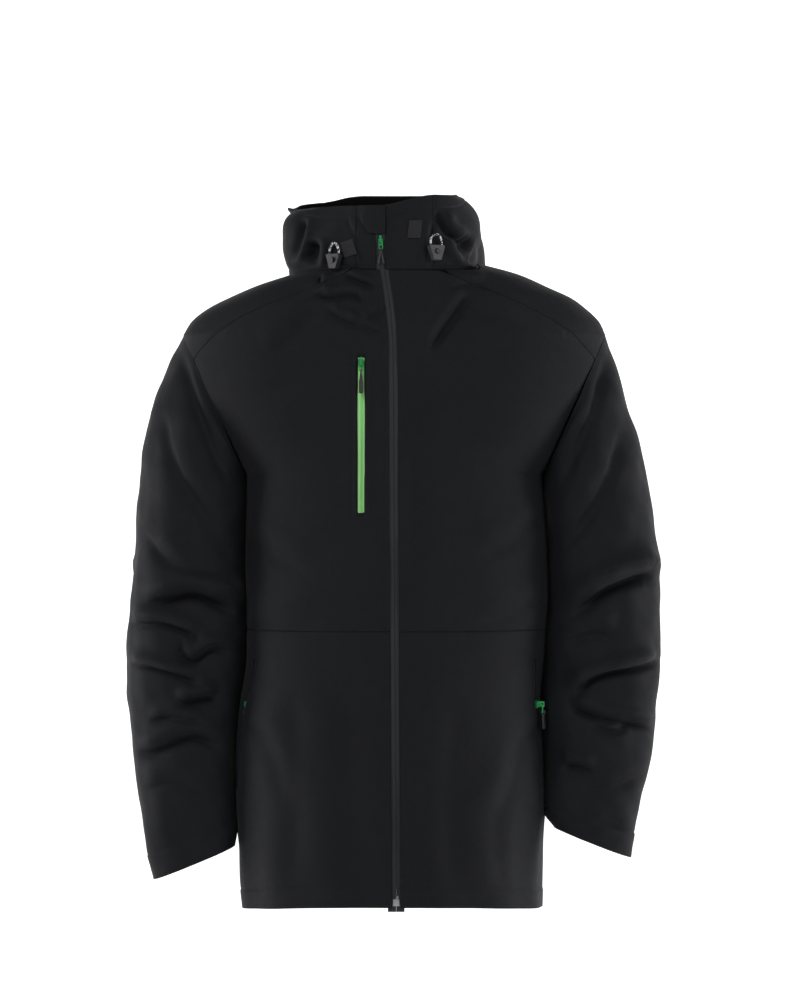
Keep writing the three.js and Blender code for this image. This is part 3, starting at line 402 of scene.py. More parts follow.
CAMERA_PLACE = (0.0066, -4.0, -0.27)
CAMERA_LENS = 120


def studio():
    cam = bpy.data.objects.new("camera", bpy.data.cameras.new("camera"))
    cam.location = CAMERA_PLACE
    cam.rotation_euler = (math.radians(90), 0, 0)
    cam.data.lens = CAMERA_LENS
    cam.data.sensor_width = 36
    cam.data.clip_end = 40
    bpy.context.scene.collection.objects.link(cam)
    bpy.context.scene.camera = cam

    # a seamless paper floor that rolls up behind
    floor_z, back_y, radius, half = -1050.0, 14000.0, 2500.0, 16000.0
    profile = [(-half, floor_z), (-2500, floor_z), (0, floor_z), (1500, floor_z)]
    profile += [
        (back_y - radius + radius * math.sin(t), floor_z + radius - radius * math.cos(t))
        for t in np.linspace(0, math.pi / 2, 16)
    ]
    profile.append((back_y, 11000))
    verts = [(x, y, z) for x in (-half, half) for y, z in profile]
    m = len(profile)
    faces = [(i, i + 1, m + i + 1, m + i) for i in range(m - 1)]
    paper, tree, shader = new_material("white_seamless_paper", Roughness=0.9)
    grain = add_node(tree, "ShaderNodeTexNoise", Scale=3.0)
    tone = add_node(tree, "ShaderNodeMix", {"data_type": "RGBA"}, Factor=grain.outputs["Fac"])
    tone.inputs[6].default_value = linear("F6F6F6")
    tone.inputs[7].default_value = linear("FAFAFA")
    tree.links.new(tone.outputs[2], shader.inputs["Base Color"])
    # painted light: the paper glows, weakly in front of and beside the jacket and fully from 1.1 m behind it,
    # where it runs on and rolls up
    place = add_node(tree, "ShaderNodeTexCoord")
    parts = add_node(tree, "ShaderNodeSeparateXYZ", Vector=place.outputs["Object"])
    painted_glow = add_node(tree, "ShaderNodeMapRange", Value=parts.outputs["Y"])
    painted_glow.inputs["From Min"].default_value = 0.2
    painted_glow.inputs["From Max"].default_value = 1.1
    painted_glow.inputs["To Min"].default_value = 0.1
    painted_glow.inputs["To Max"].default_value = 0.85
    shader.inputs["Emission Color"].default_value = (1, 1, 1, 1)
    tree.links.new(painted_glow.outputs["Result"], shader.inputs["Emission Strength"])
    new_object("paper_floor", verts, faces, paper)

    def softbox(name, place, aim, size, power):
        light = bpy.data.lights.new(name, "AREA")
        light.shape = "RECTANGLE"
        light.size, light.size_y = size
        light.energy = power
        lamp = bpy.data.objects.new(name, light)
        lamp.location = place
        lamp.rotation_euler = (Vector(aim) - Vector(place)).to_track_quat("-Z", "Y").to_euler()
        bpy.context.scene.collection.objects.link(lamp)

    softbox("key", (-1.2, -2.5, 1.7), (0, 0, -0.35), (1.2, 1.2), 40)
    softbox("fill", (2.2, -2.4, 0.5), (0, 0, -0.35), (1.2, 1.8), 24)
    softbox("left_edge", (-2.2, 0.1, -0.3), (0, 0, -0.55), (0.7, 1.4), 28)
    softbox("right_edge", (2.2, 0.1, -0.3), (0, 0, -0.55), (0.7, 1.4), 26)
    world = bpy.data.worlds.new("studio")
    world.use_nodes = True
    world.node_tree.nodes["Background"].inputs[0].default_value = (1, 1, 1, 1)
    world.node_tree.nodes["Background"].inputs[1].default_value = 0.2
    bpy.context.scene.world = world
    bpy.context.scene.view_settings.view_transform = "Standard"


studio()

# ---------- the body's cloth ----------

# Side outlines of the lower body: the sides differ, as the cloth is pulled by the arms.
RIGHT_SIDE = [(-760, 182), (-690, 188), (-618, 191), (-558, 190), (-510, 185), (-462, 177),
              (-428, 177), (-350, 179), (ARMPIT_Z, ARMPIT_X)]
LEFT_SIDE = [(-760, 175), (-688, 176), (-618, 182), (-559, 178), (-495, 176), (-463, 179),
             (-392, 184), (-300, 182), (ARMPIT_Z, ARMPIT_X)]
RIGHT_SHOULDER = [(SHOULDER_Z, SHOULDER_X), (-54, 240), (-40, 221), (-26, 193), (-12, 160), (0, 121)]
LEFT_SHOULDER = [(SHOULDER_Z, SHOULDER_X), (-54, 243), (-42, 230), (-27, 208), (-19, 189), (-2, 148),
                 (11, 102)]

side_half = {-1: smooth_through(RIGHT_SIDE), 1: smooth_through(LEFT_SIDE)}
shoulder_half = {-1: smooth_through(RIGHT_SHOULDER), 1: smooth_through(LEFT_SHOULDER)}
back_y = smooth_through([(-760, 130), (-600, 126), (-423, 122), (-300, 134), (-200, 139),
                         (-110, 127), (-50, 103), (0, 80), (12, 74)])
zip_x = smooth_through([(-760, 2.2), (-735, 2.2), (-600, 1.4), (-423, 0.3), (-250, -0.7), (-120, -1.4),
                        (-73, -2.6), (-36, -6.5), (0, -12), (22, -15), (34, -16), (90, -19)])


def front_y(z):
    return lerp(FRONT_HEM_Y, FRONT_NECK_Y, (z - HEM_Z) / -HEM_Z)


def armhole_half(z, widest):
    mid, rise = (ARMPIT_Z + SHOULDER_Z) / 2, (SHOULDER_Z - ARMPIT_Z) / 2
    return widest * np.sqrt(np.clip(1 - ((z - mid) / rise) ** 2, 0, 1))


def half_width(side, z, front):
    depth = np.where(front, -front_y(z), back_y(z))
    reach = armhole_half(z, np.where(front, ARMHOLE_FRONT, ARMHOLE_BACK)) / depth
    plane = lerp(ARMPIT_X, SHOULDER_X, (z - ARMPIT_Z) / (SHOULDER_Z - ARMPIT_Z))
    beside = plane / (1 - reach ** BODY_ROUNDNESS) ** (1 / BODY_ROUNDNESS)
    low = np.where(side < 0, side_half[-1](z), side_half[1](z))
    high = np.where(side < 0, shoulder_half[-1](z), shoulder_half[1](z))
    return np.where(z <= ARMPIT_Z, low, np.where(z >= SHOULDER_Z, high, beside))


def torso(angle, z):
    """Points of the body at signed angles from the front's middle and at heights."""
    angle, z = np.broadcast_arrays(np.asarray(angle, float), np.asarray(z, float))
    front = np.cos(angle) > 0
    a = half_width(np.sign(np.sin(angle)), z, front)
    b = np.where(front, -front_y(z), back_y(z))
    e = 2 / BODY_ROUNDNESS
    return np.stack([a * signed_power(np.sin(angle), e), -b * signed_power(np.cos(angle), e), z], -1)


def angle_at_x(x, z):
    x, z = np.broadcast_arrays(np.asarray(x, float), np.asarray(z, float))
    share = np.abs(x) / half_width(np.sign(x), z, np.full(z.shape, True))
    return np.sign(x) * np.arcsin(np.clip(share ** (BODY_ROUNDNESS / 2), 0, 1))


def side_edge(z, front):
    """Angle of the armhole's edge, or of the side seam under it, at heights."""
    z = np.asarray(z, float)
    half = armhole_half(z, ARMHOLE_FRONT if front else ARMHOLE_BACK)
    depth = -front_y(z) if front else back_y(z)
    edge = np.arccos(np.clip((half / depth) ** (BODY_ROUNDNESS / 2), 0, 1))
    edge = edge if front else math.pi - edge
    return np.where((z <= ARMPIT_Z) | (z >= SHOULDER_Z), math.pi / 2, edge)


SEAM = 0.0016  # half a seam's width as an angle round the body
YOKE_NECK = float(angle_at_x(52.0, -0.6))
YOKE_ARM_Z = -104.0
YOKE_ARM = float(side_edge(YOKE_ARM_Z, True))
YOKE_BACK_Z = -112.0


def yoke_seam_z(angle):
    return lerp(-0.6, YOKE_ARM_Z, np.clip((angle - YOKE_NECK) / (YOKE_ARM - YOKE_NECK), 0, 1))


HEM_SIDE_Z = -756.0
HEM_FRONT_RISE = 15.0
HEM_BACK_RISE = 4.0


def hem_z(angle):
    """The hem rides a little higher in front."""
    forward = np.cos(angle)
    return (HEM_SIDE_Z + HEM_FRONT_RISE * np.clip(forward, 0, 1) ** 1.5
            + HEM_BACK_RISE * np.clip(-forward, 0, 1))


# Folds of the body's front as (x, z) routes from right to left of the wearer:
# route, height, width and, where it is not a roll, the kind.
FRONT_FOLDS = [
    ([(-62, -4), (-42, -13), (-20, -22)], 3.4, 5),
    ([(-100, -24), (-78, -31), (-46, -30), (-34, -42)], 4.0, 6),
    ([(-82, -44), (-60, -58), (-40, -60)], 3.4, 6),
    ([(-58, -64), (-36, -66), (-10, -76)], 3.0, 5),
    ([(-36, -60), (-22, -52), (-8, -52)], 2.0, 4),
    ([(-86, -2), (-84, -20), (-78, -34)], 3.0, 5),
    ([(36, -98), (60, -62), (94, -18)], 5.5, 12),
    ([(60, -20), (84, -16), (110, -14)], 2.2, 7),
    ([(70, -46), (110, -52), (150, -66)], 1.6, 10),
    ([(-150, -96), (-120, -70), (-96, -40)], 2.0, 14),
    ([(-30, -120), (-90, -128), (-150, -150)], 1.0, 14),
    ([(-172, -300), (-140, -330), (-96, -352)], 1.9, 14),
    ([(-174, -402), (-130, -412), (-80, -404)], 1.2, 16),
    ([(92, -330), (140, -312), (174, -280)], 2.0, 15),
    ([(96, -410), (140, -398), (174, -380)], 1.6, 14),
    ([(-176, -520), (-140, -560), (-118, -640)], 2.2, 16),
    ([(120, -640), (140, -570), (172, -520)], 2.2, 16),
    ([(-110, -470), (-104, -600), (-112, -740)], 1.8, 24),
    ([(60, -740), (54, -620), (62, -480)], 1.7, 26),
    ([(-52, -480), (-44, -600), (-50, -740)], 1.3, 22),
    ([(118, -745), (112, -650), (124, -590)], 1.8, 18),
    ([(24, -110), (30, -240), (26, -400)], 0.9, 20),
]
BACK_FOLDS = [
    ([(-150, -150), (-60, -210), (0, -220)], 3.0, 22),
    ([(0, -222), (70, -208), (150, -152)], 3.0, 22),
    ([(-165, -300), (-90, -350), (-20, -350)], 3.2, 20),
    ([(30, -352), (100, -344), (165, -290)], 3.2, 20),
    ([(-150, -420), (-60, -440), (60, -436), (150, -415)], 2.6, 18),
    ([(-90, -470), (-80, -600), (-95, -740)], 3.2, 26),
    ([(70, -745), (62, -600), (80, -470)], 3.2, 26),
]


BODY_FOLD_SCALE = 1.3
SLEEVE_FOLD_SCALE = 1.75


def body_folds(p, angle):
    """How far the body's cloth stands out or sinks, at points of its smooth surface."""
    x, z = p[..., 0], p[..., 2]
    facing = np.cos(angle)
    out = np.zeros(x.shape)
    for weight, folds in ((smoothstep(facing, -0.1, 0.3), FRONT_FOLDS),
                          (smoothstep(-facing, -0.1, 0.3), BACK_FOLDS)):
        for route, height, width, *kind in folds:
            out += BODY_FOLD_SCALE * weight * fold(x, z, route, height, width, *kind)
    # empty cloth hangs in long shallow flutes that deepen to the hem
    flute = np.sin(angle * 9 + 0.6 * np.sin(z / 90)) * np.sin(angle * 4 + 1.1)
    out += 2.4 * flute * smoothstep(-z, 430, 740) * smoothstep(np.abs(x - zip_x(z)), 10, 50)
    out += ripple(p, 5, 150, 1.8) + ripple(p, 6, 60, 0.6)
    # the sleeves press the sides flat
    out *= 1 - 0.8 * (1 - smoothstep(np.abs(facing), 0.1, 0.4)) * smoothstep(z, -700, -640)
    return out


def from_edge(points, axis, last):
    """Distance of every point of a grid from one of its edges, along the grid."""
    step = np.linalg.norm(np.diff(points, axis=axis), axis=-1)
    pad = [(0, 0), (0, 0)]
    pad[axis] = (1, 0)
    far = np.pad(np.cumsum(step, axis=axis), pad)
    return (np.take(far, [-1], axis) - far) if last else far


def seam(distance, stitch=5.0, depth=0.7):
    """Cloth turns in at a seam, and a row of stitches draws it down beside it."""
    return -depth * np.exp(-((distance / 1.8) ** 2)) - 0.35 * np.exp(-(((distance - stitch) / 1.0) ** 2))


def hemmed(distance, width=22.0):
    """A turned-up hem is thicker as far as its row of stitches."""
    return 0.8 * smoothstep(-distance, -width, -width + 2) - 0.5 * np.exp(-(((distance - width) / 1.2) ** 2))


def steps(*stretches):
    """Positions along one side of a grid: (from, to, count, crowding at the two ends)."""
    out = []
    for start, end, count, crowd in stretches:
        t = np.linspace(0, 1, count + 1)[:-1]
        if crowd:
            t = t - crowd * np.sin(2 * math.pi * t) / (2 * math.pi)
        out.append(lerp(start, end, t))
    out.append(np.array([stretches[-1][1]]))
    return np.concatenate(out)


def displaced(points, amount, flip=False, ring=False):
    n = normals_of(points, ring) * (-1 if flip else 1)
    return points + n * amount[..., None]


CHEST = dict(x=-38.8, top=-101.0, end=-286.0)
HAND = dict(top=-458.0, middle=-534.0, end=-611.0)


def pocket_line(side, z):
    """Angle of a hand pocket's slot at a height."""
    share = np.clip((HAND["top"] - z) / (HAND["top"] - HAND["end"]), -0.1, 1.1)
    return side * np.radians(lerp(66.0, 78.0, share))


POCKET_HALF = 4.2
SLOT_DEPTH = 6.4
TAPE_DEPTH = 4.7


def slot_sink(distance, z, top, end):
    """A slot's edges stand up as narrow welts and its floor lies deep."""
    inside = smoothstep(-z, -top - 1.2, -top + 1.2) * (1 - smoothstep(-z, -end - 1.2, -end + 1.2))
    floor = 1 - smoothstep(distance, POCKET_HALF - 0.5, POCKET_HALF + 0.6)
    welt = np.exp(-(((distance - POCKET_HALF - 2.6) / 1.6) ** 2))
    stitch = np.exp(-(((distance - POCKET_HALF - 6.5) / 0.9) ** 2))
    return inside * (-SLOT_DEPTH * floor + 0.7 * welt - 0.4 * stitch)


def groove_angle(side, z):
    """Angle of a front's edge beside the zip, which may lie past the body's middle."""
    return angle_at_x(zip_x(z) + side * GROOVE, z)


def gathered_columns(side, z, slot_angle, half_angle):
    """Angles of a front panel's columns in one row, crowded round the pocket slot."""
    groove = groove_angle(side, z)
    edge = side * (side_edge(z, True) - SEAM)
    near, far = slot_angle - side * half_angle, slot_angle + side * half_angle
    if abs(near) < abs(groove):
        near = groove + (slot_angle - groove) * 0.3
    return steps((groove, near, 40, 0.75), (near, far, 40, 0.0), (far, edge, 34, 0.7))


def finish_panel(node, angle, z, side, seams, slot=None, hem=False):
    """Displaces a body panel by folds, seams, hem and slot, and makes it."""
    angle, z = np.broadcast_arrays(angle, z)
    p = torso(angle, z)
    d = body_folds(p, angle)
    for axis, last, stitch in seams:
        d = d + seam(from_edge(p, axis, last), stitch)
    if hem:
        d = d + hemmed(from_edge(p, 1, False))
    if slot is not None:
        d = d + slot(p, angle, z)
    flip = side < 0
    full = displaced(p, d, flip)
    obj = cloth(node + "_cloth", full, NYLON, flip=flip, lining=NYLON_INNER, flat_held="hung")
    wear(obj, "jacket", "shell", node)


def make_fronts():
    for side, hand in ((-1, "right"), (1, "left")):
        # upper front: its top edge runs along the collar, then down the yoke seam
        share = steps((0, 1, 120, 0.5))
        bottom = WAIST_Z + 0.3
        base = gathered_columns(side, -200.0, side * abs(float(angle_at_x(38.8, -200.0))), 0.07)
        u = (base - base[0]) / (base[-1] - base[0])
        z = np.zeros((len(u), len(share)))
        angle = np.zeros_like(z)
        for i, ui in enumerate(u):
            low, high = YOKE_ARM_Z - 1.0, -0.6
            for _ in range(30):
                mid = (low + high) / 2
                a = lerp(side * float(groove_angle(side, mid)), float(side_edge(mid, True)) - SEAM, ui)
                low, high = (mid, high) if mid < yoke_seam_z(a) - 0.5 else (low, mid)
            rows = lerp(bottom, low, share)
            z[i] = rows
            inner = side * groove_angle(side, rows)
            angle[i] = side * lerp(inner, side_edge(rows, True) - SEAM, ui)
        slot = None
        if side < 0:
            # columns follow the pocket's line, so that its edges are crisp
            line = np.abs(angle_at_x(np.full(z.shape, CHEST["x"]), z))
            here = np.abs(angle)
            k = 60
            shift = line[k] - here[k]
            span = smoothstep(u, 0, u[k] * 0.7) * (1 - smoothstep(u, u[k] * 1.5, 0.6))
            angle = -(here + shift[None, :] * span[:, None])

            def slot(p, a, zz):
                return slot_sink(np.abs(p[..., 0] - CHEST["x"]), zz, CHEST["top"], CHEST["end"])
        finish_panel("front_upper_" + hand, angle, z, side,
                     [(1, False, 4.5), (1, True, 4.5), (0, False, 6.0), (0, True, 5.0)], slot)

        # lower front, with the hand pocket's slot
        share = steps((0, 1, 130, 0.4))
        base = gathered_columns(side, HAND["middle"], float(pocket_line(side, HAND["middle"])), 0.075)
        z = lerp(hem_z(base)[:, None], WAIST_Z - 0.3, share[None, :])
        mid_rows = z[len(base) // 2]
        angle = np.zeros_like(z)
        for j in range(len(share)):
            zj = float(mid_rows[j])
            angle[:, j] = gathered_columns(side, zj, float(pocket_line(side, zj)), 0.075)

        def hand_slot(p, a, zz, side=side):
            perp = np.abs(a - pocket_line(side, zz)) * 128
            return slot_sink(perp, zz, HAND["top"], HAND["end"])
        finish_panel("front_lower_" + hand, angle, z, side,
                     [(1, True, 4.5), (0, False, 6.0), (0, True, 5.0)], hand_slot, hem=True)


def make_backs():
    u = steps((0, 1, 150, 0.3))
    for name, low, high, rows, hem in (
        ("back_lower", None, WAIST_Z - 0.3, 90, True),
        ("back_upper", WAIST_Z + 0.3, YOKE_BACK_Z - 0.4, 110, False),
    ):
        v = steps((0, 1, rows, 0.4))
        edge = side_edge(high, False)
        around = lerp(float(edge) + SEAM, 2 * math.pi - float(edge) - SEAM, u)
        bottoms = hem_z(around) if low is None else np.full(len(u), low)
        z = lerp(bottoms[:, None], high, v[None, :])
        edges = side_edge(z, False) + SEAM
        angle = lerp(edges, 2 * math.pi - edges, u[:, None])
        seams = [(1, True, 4.5), (0, False, 5.0), (0, True, 5.0)] + ([] if hem else [(1, False, 4.5)])
        finish_panel(name, angle, z, 1, seams, hem=hem)


def yoke_bottom(angle):
    arm_back = float(side_edge(YOKE_BACK_Z, False))
    if angle <= YOKE_ARM:
        return float(yoke_seam_z(angle))
    if angle >= arm_back:
        return YOKE_BACK_Z + 0.3
    front = angle < math.pi / 2
    low, high = (YOKE_ARM_Z if front else YOKE_BACK_Z), SHOULDER_Z
    for _ in range(30):
        mid = (low + high) / 2
        edge = float(side_edge(mid, front))
        inside = edge - SEAM < angle if front else edge + SEAM > angle
        low, high = (mid, high) if inside else (low, mid)
    return (low + high) / 2 + 0.5


def make_yokes():
    arm_back = float(side_edge(YOKE_BACK_Z, False))
    for side, hand in ((-1, "right"), (1, "left")):
        start = YOKE_NECK * 0.94 + YOKE_ARM * 0.06
        angles = steps((start, YOKE_ARM, 40, 0.4), (YOKE_ARM, math.pi / 2, 26, 0.0),
                       (math.pi / 2, arm_back, 26, 0.0), (arm_back, math.pi - 0.001, 36, 0.4))
        low = np.array([yoke_bottom(a) for a in angles])
        neck = -0.6 + (11.5 if side > 0 else 0.6) * smoothstep(np.sin(angles), 0.55, 0.98)
        v = steps((0, 1, 44, 0.4))
        z = lerp(low[:, None], neck[:, None], v[None, :])
        finish_panel("yoke_" + hand, side * angles[:, None], z, side,
                     [(1, False, 5.0), (1, True, 4.0), (0, True, 4.0)])


# ---------- sleeves ----------

OUTER = {
    -1: [(-73, 253), (-114, 272), (-150, 287), (-186, 296), (-222, 302), (-258, 305), (-294, 309),
         (-330, 310), (-366, 314), (-402, 318), (-438, 321), (-474, 320.5), (-510, 319), (-546, 314),
         (-582, 311), (-618, 306), (-654, 300), (-690, 293), (-719, 285)],
    1: [(-73, 253), (-114, 266), (-150, 277), (-186, 288), (-222, 298), (-258, 305), (-294, 310),
        (-330, 315), (-366, 317.5), (-402, 319), (-438, 320), (-474, 317), (-510, 314), (-546, 311),
        (-582, 307), (-618, 300), (-654, 293), (-690, 284), (-719, 280)],
}
# outer height, inner x, inner height, reach forwards and backwards, middle's y
SECTIONS = [
    (-73, 177, -240, 72, 80, 0), (-122, 186, -262, 76, 82, 0), (-208, 188, -300, 79, 81, 0),
    (-300, 187, -352, 78, 78, 1), (-438, 187, -438, 75, 75, 0), (-512, 188, -510, 66, 68, -6),
    (-610, 191, -598, 54, 56, -20), (-690, 191, -655, 42, 44, -34), (-719, 190, -680, 39, 40, -39),
]
SLEEVE_ROWS = (26, 20, 22, 40, 34, 34, 22, 16)  # rows of cloth from each section to the next
LEFT_RISE = 26.0  # how much higher the left cuff ends

# Folds of each sleeve's front as (x, z) routes, running towards the wearer's left.
SLEEVE_FOLDS = {
    -1: [
        ([(-302, -392), (-268, -382), (-237, -376), (-208, -386), (-181, -404)], 8.5, 13),
        ([(-322, -418), (-281, -412), (-250, -420), (-222, -436)], 4.5, 8),
        ([(-252, -424), (-249, -449), (-238, -457), (-214, -443), (-184, -452)], 4.2, 8),
        ([(-322, -462), (-290, -464), (-250, -476), (-222, -489)], 3.4, 7),
        ([(-258, -510), (-232, -502), (-206, -499)], 5.2, 9),
        ([(-292, -529), (-259, -524), (-215, -533)], 3.2, 8),
        ([(-316, -564), (-285, -563), (-250, -547), (-227, -547), (-197, -564)], 5.6, 11),
        ([(-246, -84), (-226, -160), (-186, -262)], 2.8, 15),
        ([(-272, -150), (-250, -230), (-196, -316)], 3.0, 18),
        ([(-296, -300), (-262, -338), (-196, -352)], 2.6, 14),
        ([(-300, -610), (-262, -598), (-214, -612)], 1.8, 12),
    ],
    1: [
        ([(204, -408), (236, -379), (261, -365), (295, -356), (314, -370)], 8.5, 13),
        ([(206, -507), (221, -487), (236, -476), (261, -469), (299, -462), (322, -453)], 6.0, 9),
        ([(203, -510), (219, -515), (243, -524), (285, -533), (314, -546)], 5.4, 9),
        ([(226, -532), (253, -543), (278, -538)], 3.6, 7, "sharp"),
        ([(196, -583), (214, -581), (238, -590)], 3.6, 8),
        ([(186, -262), (226, -168), (246, -90)], 2.8, 15),
        ([(190, -330), (236, -262), (268, -170)], 3.2, 18),
        ([(196, -440), (232, -424), (262, -430)], 2.6, 12),
        ([(214, -600), (256, -604), (300, -590)], 2.0, 12),
        ([(208, -660), (248, -652), (286, -664)], 1.6, 10),
    ],
}


def mirrored(folds):
    return [([(-x, z) for x, z in reversed(route)], *rest) for route, *rest in folds]


def sleeve_sections(side):
    """Sections of one sleeve; its inner line hangs against the body's side."""
    outer_x = smooth_through(OUTER[side])
    table = []
    for k, (oz, ix, iz, front, back, y) in enumerate(SECTIONS):
        if 0 < k < 8:
            ix = float(side_half[side](iz)) - 3.0
        table.append((k, (float(outer_x(oz)), oz, ix, iz, front, back, y)))
    return smooth_through(table), outer_x


def sleeve_surface(side, angle, t):
    """Points of a sleeve: 0 is its outer line, a quarter turn its front; t counts sections."""
    sections, outer_x = sleeve_sections(side)
    s = sections(t)
    oz, ix, iz, front, back, y = (s[..., k] for k in range(1, 7))
    ox = outer_x(oz)
    # an oval at the armhole that grows flatter in front and behind
    e = 2 / lerp(2.0, 2.6, smoothstep(t, 0.2, 1.8))
    c, sn = signed_power(np.cos(angle), e), signed_power(np.sin(angle), e)
    reach = np.where(sn > 0, front, back)
    x = (ox + ix) / 2 + (ox - ix) / 2 * c
    z = (oz + iz) / 2 + (oz - iz) / 2 * c
    rise = LEFT_RISE if side > 0 else 0.0
    z = z + rise * np.clip((ELBOW_Z - z) / 281, 0, None)
    return np.stack([side * x, y - reach * sn, z], -1)


def sleeve_folds(side, p, angle, t):
    x, z = p[..., 0], p[..., 2]
    out = np.zeros(x.shape)
    for weight, folds in ((smoothstep(np.sin(angle), -0.25, 0.3), SLEEVE_FOLDS[side]),
                          (smoothstep(-np.sin(angle), -0.25, 0.3), mirrored(SLEEVE_FOLDS[-side]))):
        for route, height, width, *kind in folds:
            out += SLEEVE_FOLD_SCALE * weight * fold(x, z, route, height, width, *kind, ends=0.3)
    out += ripple(p, 20 + side, 90, 2.2) + ripple(p, 30 + side, 38, 0.9)
    # the folds run out towards the outer line, and the side against the body stays flat
    out *= 1 - 0.4 * smoothstep(np.cos(angle), 0.72, 1.0)
    out *= 1 - 0.85 * smoothstep(-np.cos(angle), 0.8, 0.98)
    return out * smoothstep(t, 0.0, 0.5) * (1 - 0.7 * smoothstep(t, 7.0, 7.6))


def make_sleeves():
    rows = steps(*((k, k + 1, count, 0.3 if k == 0 else 0) for k, count in enumerate(SLEEVE_ROWS)))
    shoulder, elbow, cuff, wrist = (sum(SLEEVE_ROWS[:k]) for k in (0, 4, 7, 8))
    around = np.linspace(0, 2 * math.pi, 181)
    for side, hand in ((-1, "right"), (1, "left")):
        angle, t = np.meshgrid(around, rows, indexing="ij")
        p = sleeve_surface(side, angle, t)
        d = sleeve_folds(side, p, angle, t)
        d += seam(from_edge(p, 1, False), 5.0, 0.8)
        far = from_edge(p, 1, True)
        d += 0.9 * (1 - smoothstep(far, 27, 29)) - 0.5 * np.exp(-(((far - 29) / 1.3) ** 2))
        flip = side < 0
        full = displaced(p, d, flip, ring=True)
        full[:, 0] = p[:, 0] + (p[:, 1] - p[:, 0]) * 0.06
        n = normals_of(full, True) * (-1 if flip else 1)
        lengths = {
            "sleeve_upper_": (shoulder, elbow),
            "sleeve_lower_": (elbow, cuff),
            "cuff_": (cuff, wrist),
        }
        for stem, (low, high) in lengths.items():
            piece = cloth(stem + hand + "_cloth", full[:, low:high + 1], NYLON, ring=True, flip=flip,
                          lining=NYLON_INNER, given=n[:, low:high + 1], flat_held="hung",
                          lips=(low == 0, stem == "cuff_"))
            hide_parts(stem + hand)
            if stem == "sleeve_upper_":
                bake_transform(piece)
            elif stem == "sleeve_lower_":
                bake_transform(piece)
            else:
                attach(piece, "sleeve_lower_" + hand)
        cuff_pieces(side, hand)


def cuff_patch(side, angles, t_low, t_high, lift, thick, name, material, body, slot, node):
    """A rounded piece of webbing wrapped on the back of a cuff."""
    u = steps((0, 1, 26, 0.5))
    v = steps((0, 1, 14, 0.5))
    a = np.radians(lerp(angles[0], angles[1], u))[:, None] + 0 * v[None, :]
    # its free end is rounded in plan
    pinch = 1 - 0.45 * smoothstep(u, 0.82, 1.0)[:, None] ** 2
    t = (t_low + t_high) / 2 + (v[None, :] - 0.5) * (t_high - t_low) * pinch
    p = sleeve_surface(side, a, t)
    flip = side < 0
    p = displaced(p, np.full(p.shape[:2], lift + thick), flip)
    obj = cloth(name, p, material, thick=thick, flip=flip)
    return wear(obj, body, slot, node)


def cuff_pieces(side, hand):
    cuff_patch(side, (305, 358), 7.2, 7.84, 1.1, 0.9, "cuff_loop_strip_" + hand + "_web", LOOP_PILE,
               "sleeve_lower_" + hand, "trim_black", "cuff_loop_strip_" + hand)
    cuff_patch(side, (300, 346), 7.14, 7.9, 2.2, 1.8, "cuff_tab_" + hand + "_grip", BLACK_ACETAL,
               "cuff_tab_" + hand, "trim_black", "cuff_tab_" + hand)


# ---------- collar and hood ----------

# Sections round the neck as (distance from the neck's axis, height), from the seam to the rim.
HOOD_BACK = [(96, 2), (122, -26), (146, -68), (168, -103), (192, -119), (215, -108), (223, -66),
             (211, -8), (180, 58), (142, 106)]
HOOD_SIDE = {
    -1: [(115, -7), (122, 2), (129, 13), (133, 26), (134, 40), (134, 53), (131, 63), (125, 70), (117, 74),
         (107, 74)],
    1: [(95, 1), (98, 11), (101, 21), (103, 32), (104, 44), (103, 58), (99, 70), (92, 80), (82, 88),
        (70, 93)],
}
FRONT_WALL = [(94.5 - 0.45 * k, 8.3 * k - 0.6) for k in range(10)]
RIM_LIFT = 13.0  # the left front stands higher than the right


def hood_sections(angle):
    """Radii and heights of the ten knots at an angle from the back's middle."""
    away = np.abs(np.degrees(angle))
    back = 1 - smoothstep(away, 14, 66)
    front = smoothstep(away, 98, 148)
    rest = 1 - back - front
    left, right = (np.array(HOOD_SIDE[side], float) for side in (1, -1))
    side = np.where((np.asarray(angle) > 0)[..., None, None], left, right)
    wall = np.array(FRONT_WALL, float)
    return (back[..., None, None] * np.array(HOOD_BACK, float) + rest[..., None, None] * side
            + front[..., None, None] * wall)


def bump_between(v, a, b, c, d):
    return smoothstep(v, a, b) * (1 - smoothstep(v, c, d))


def hood_surface(angle, share):
    """Points of collar and hood; angle and share (0 at the neck seam, 1 at the rim) are vectors."""
    knots = hood_sections(angle)
    k = np.linspace(0, 1, 10)
    radius = np.zeros((len(angle), len(share)))
    height = np.zeros_like(radius)
    for i in range(len(angle)):
        line = smooth_through(list(zip(k, knots[i])))(share)
        radius[i], height[i] = line[:, 0], line[:, 1]
    s, c = np.sin(angle)[:, None], np.cos(angle)[:, None]
    n = COLLAR_ROUNDNESS
    r = radius * (np.abs(s) ** n + np.abs(c) ** n) ** (-1 / n)
    front = smoothstep(np.abs(np.degrees(angle)), 98, 148)[:, None]
    height = height + RIM_LIFT * front * share[None, :] * smoothstep(r * s, -20, 50)
    # behind the right side the rim spreads, so that the hood's inside shows over it
    spread = (s < 0) * bump_between(np.abs(np.degrees(angle)), 28, 52, 68, 90)[:, None]
    spread = spread * smoothstep(share, 0.76, 1.0)[None, :]
    r = r + 24 * spread
    height = height + 9 * spread
    return np.stack([r * s, COLLAR_AXIS_Y + r * c, height], -1)


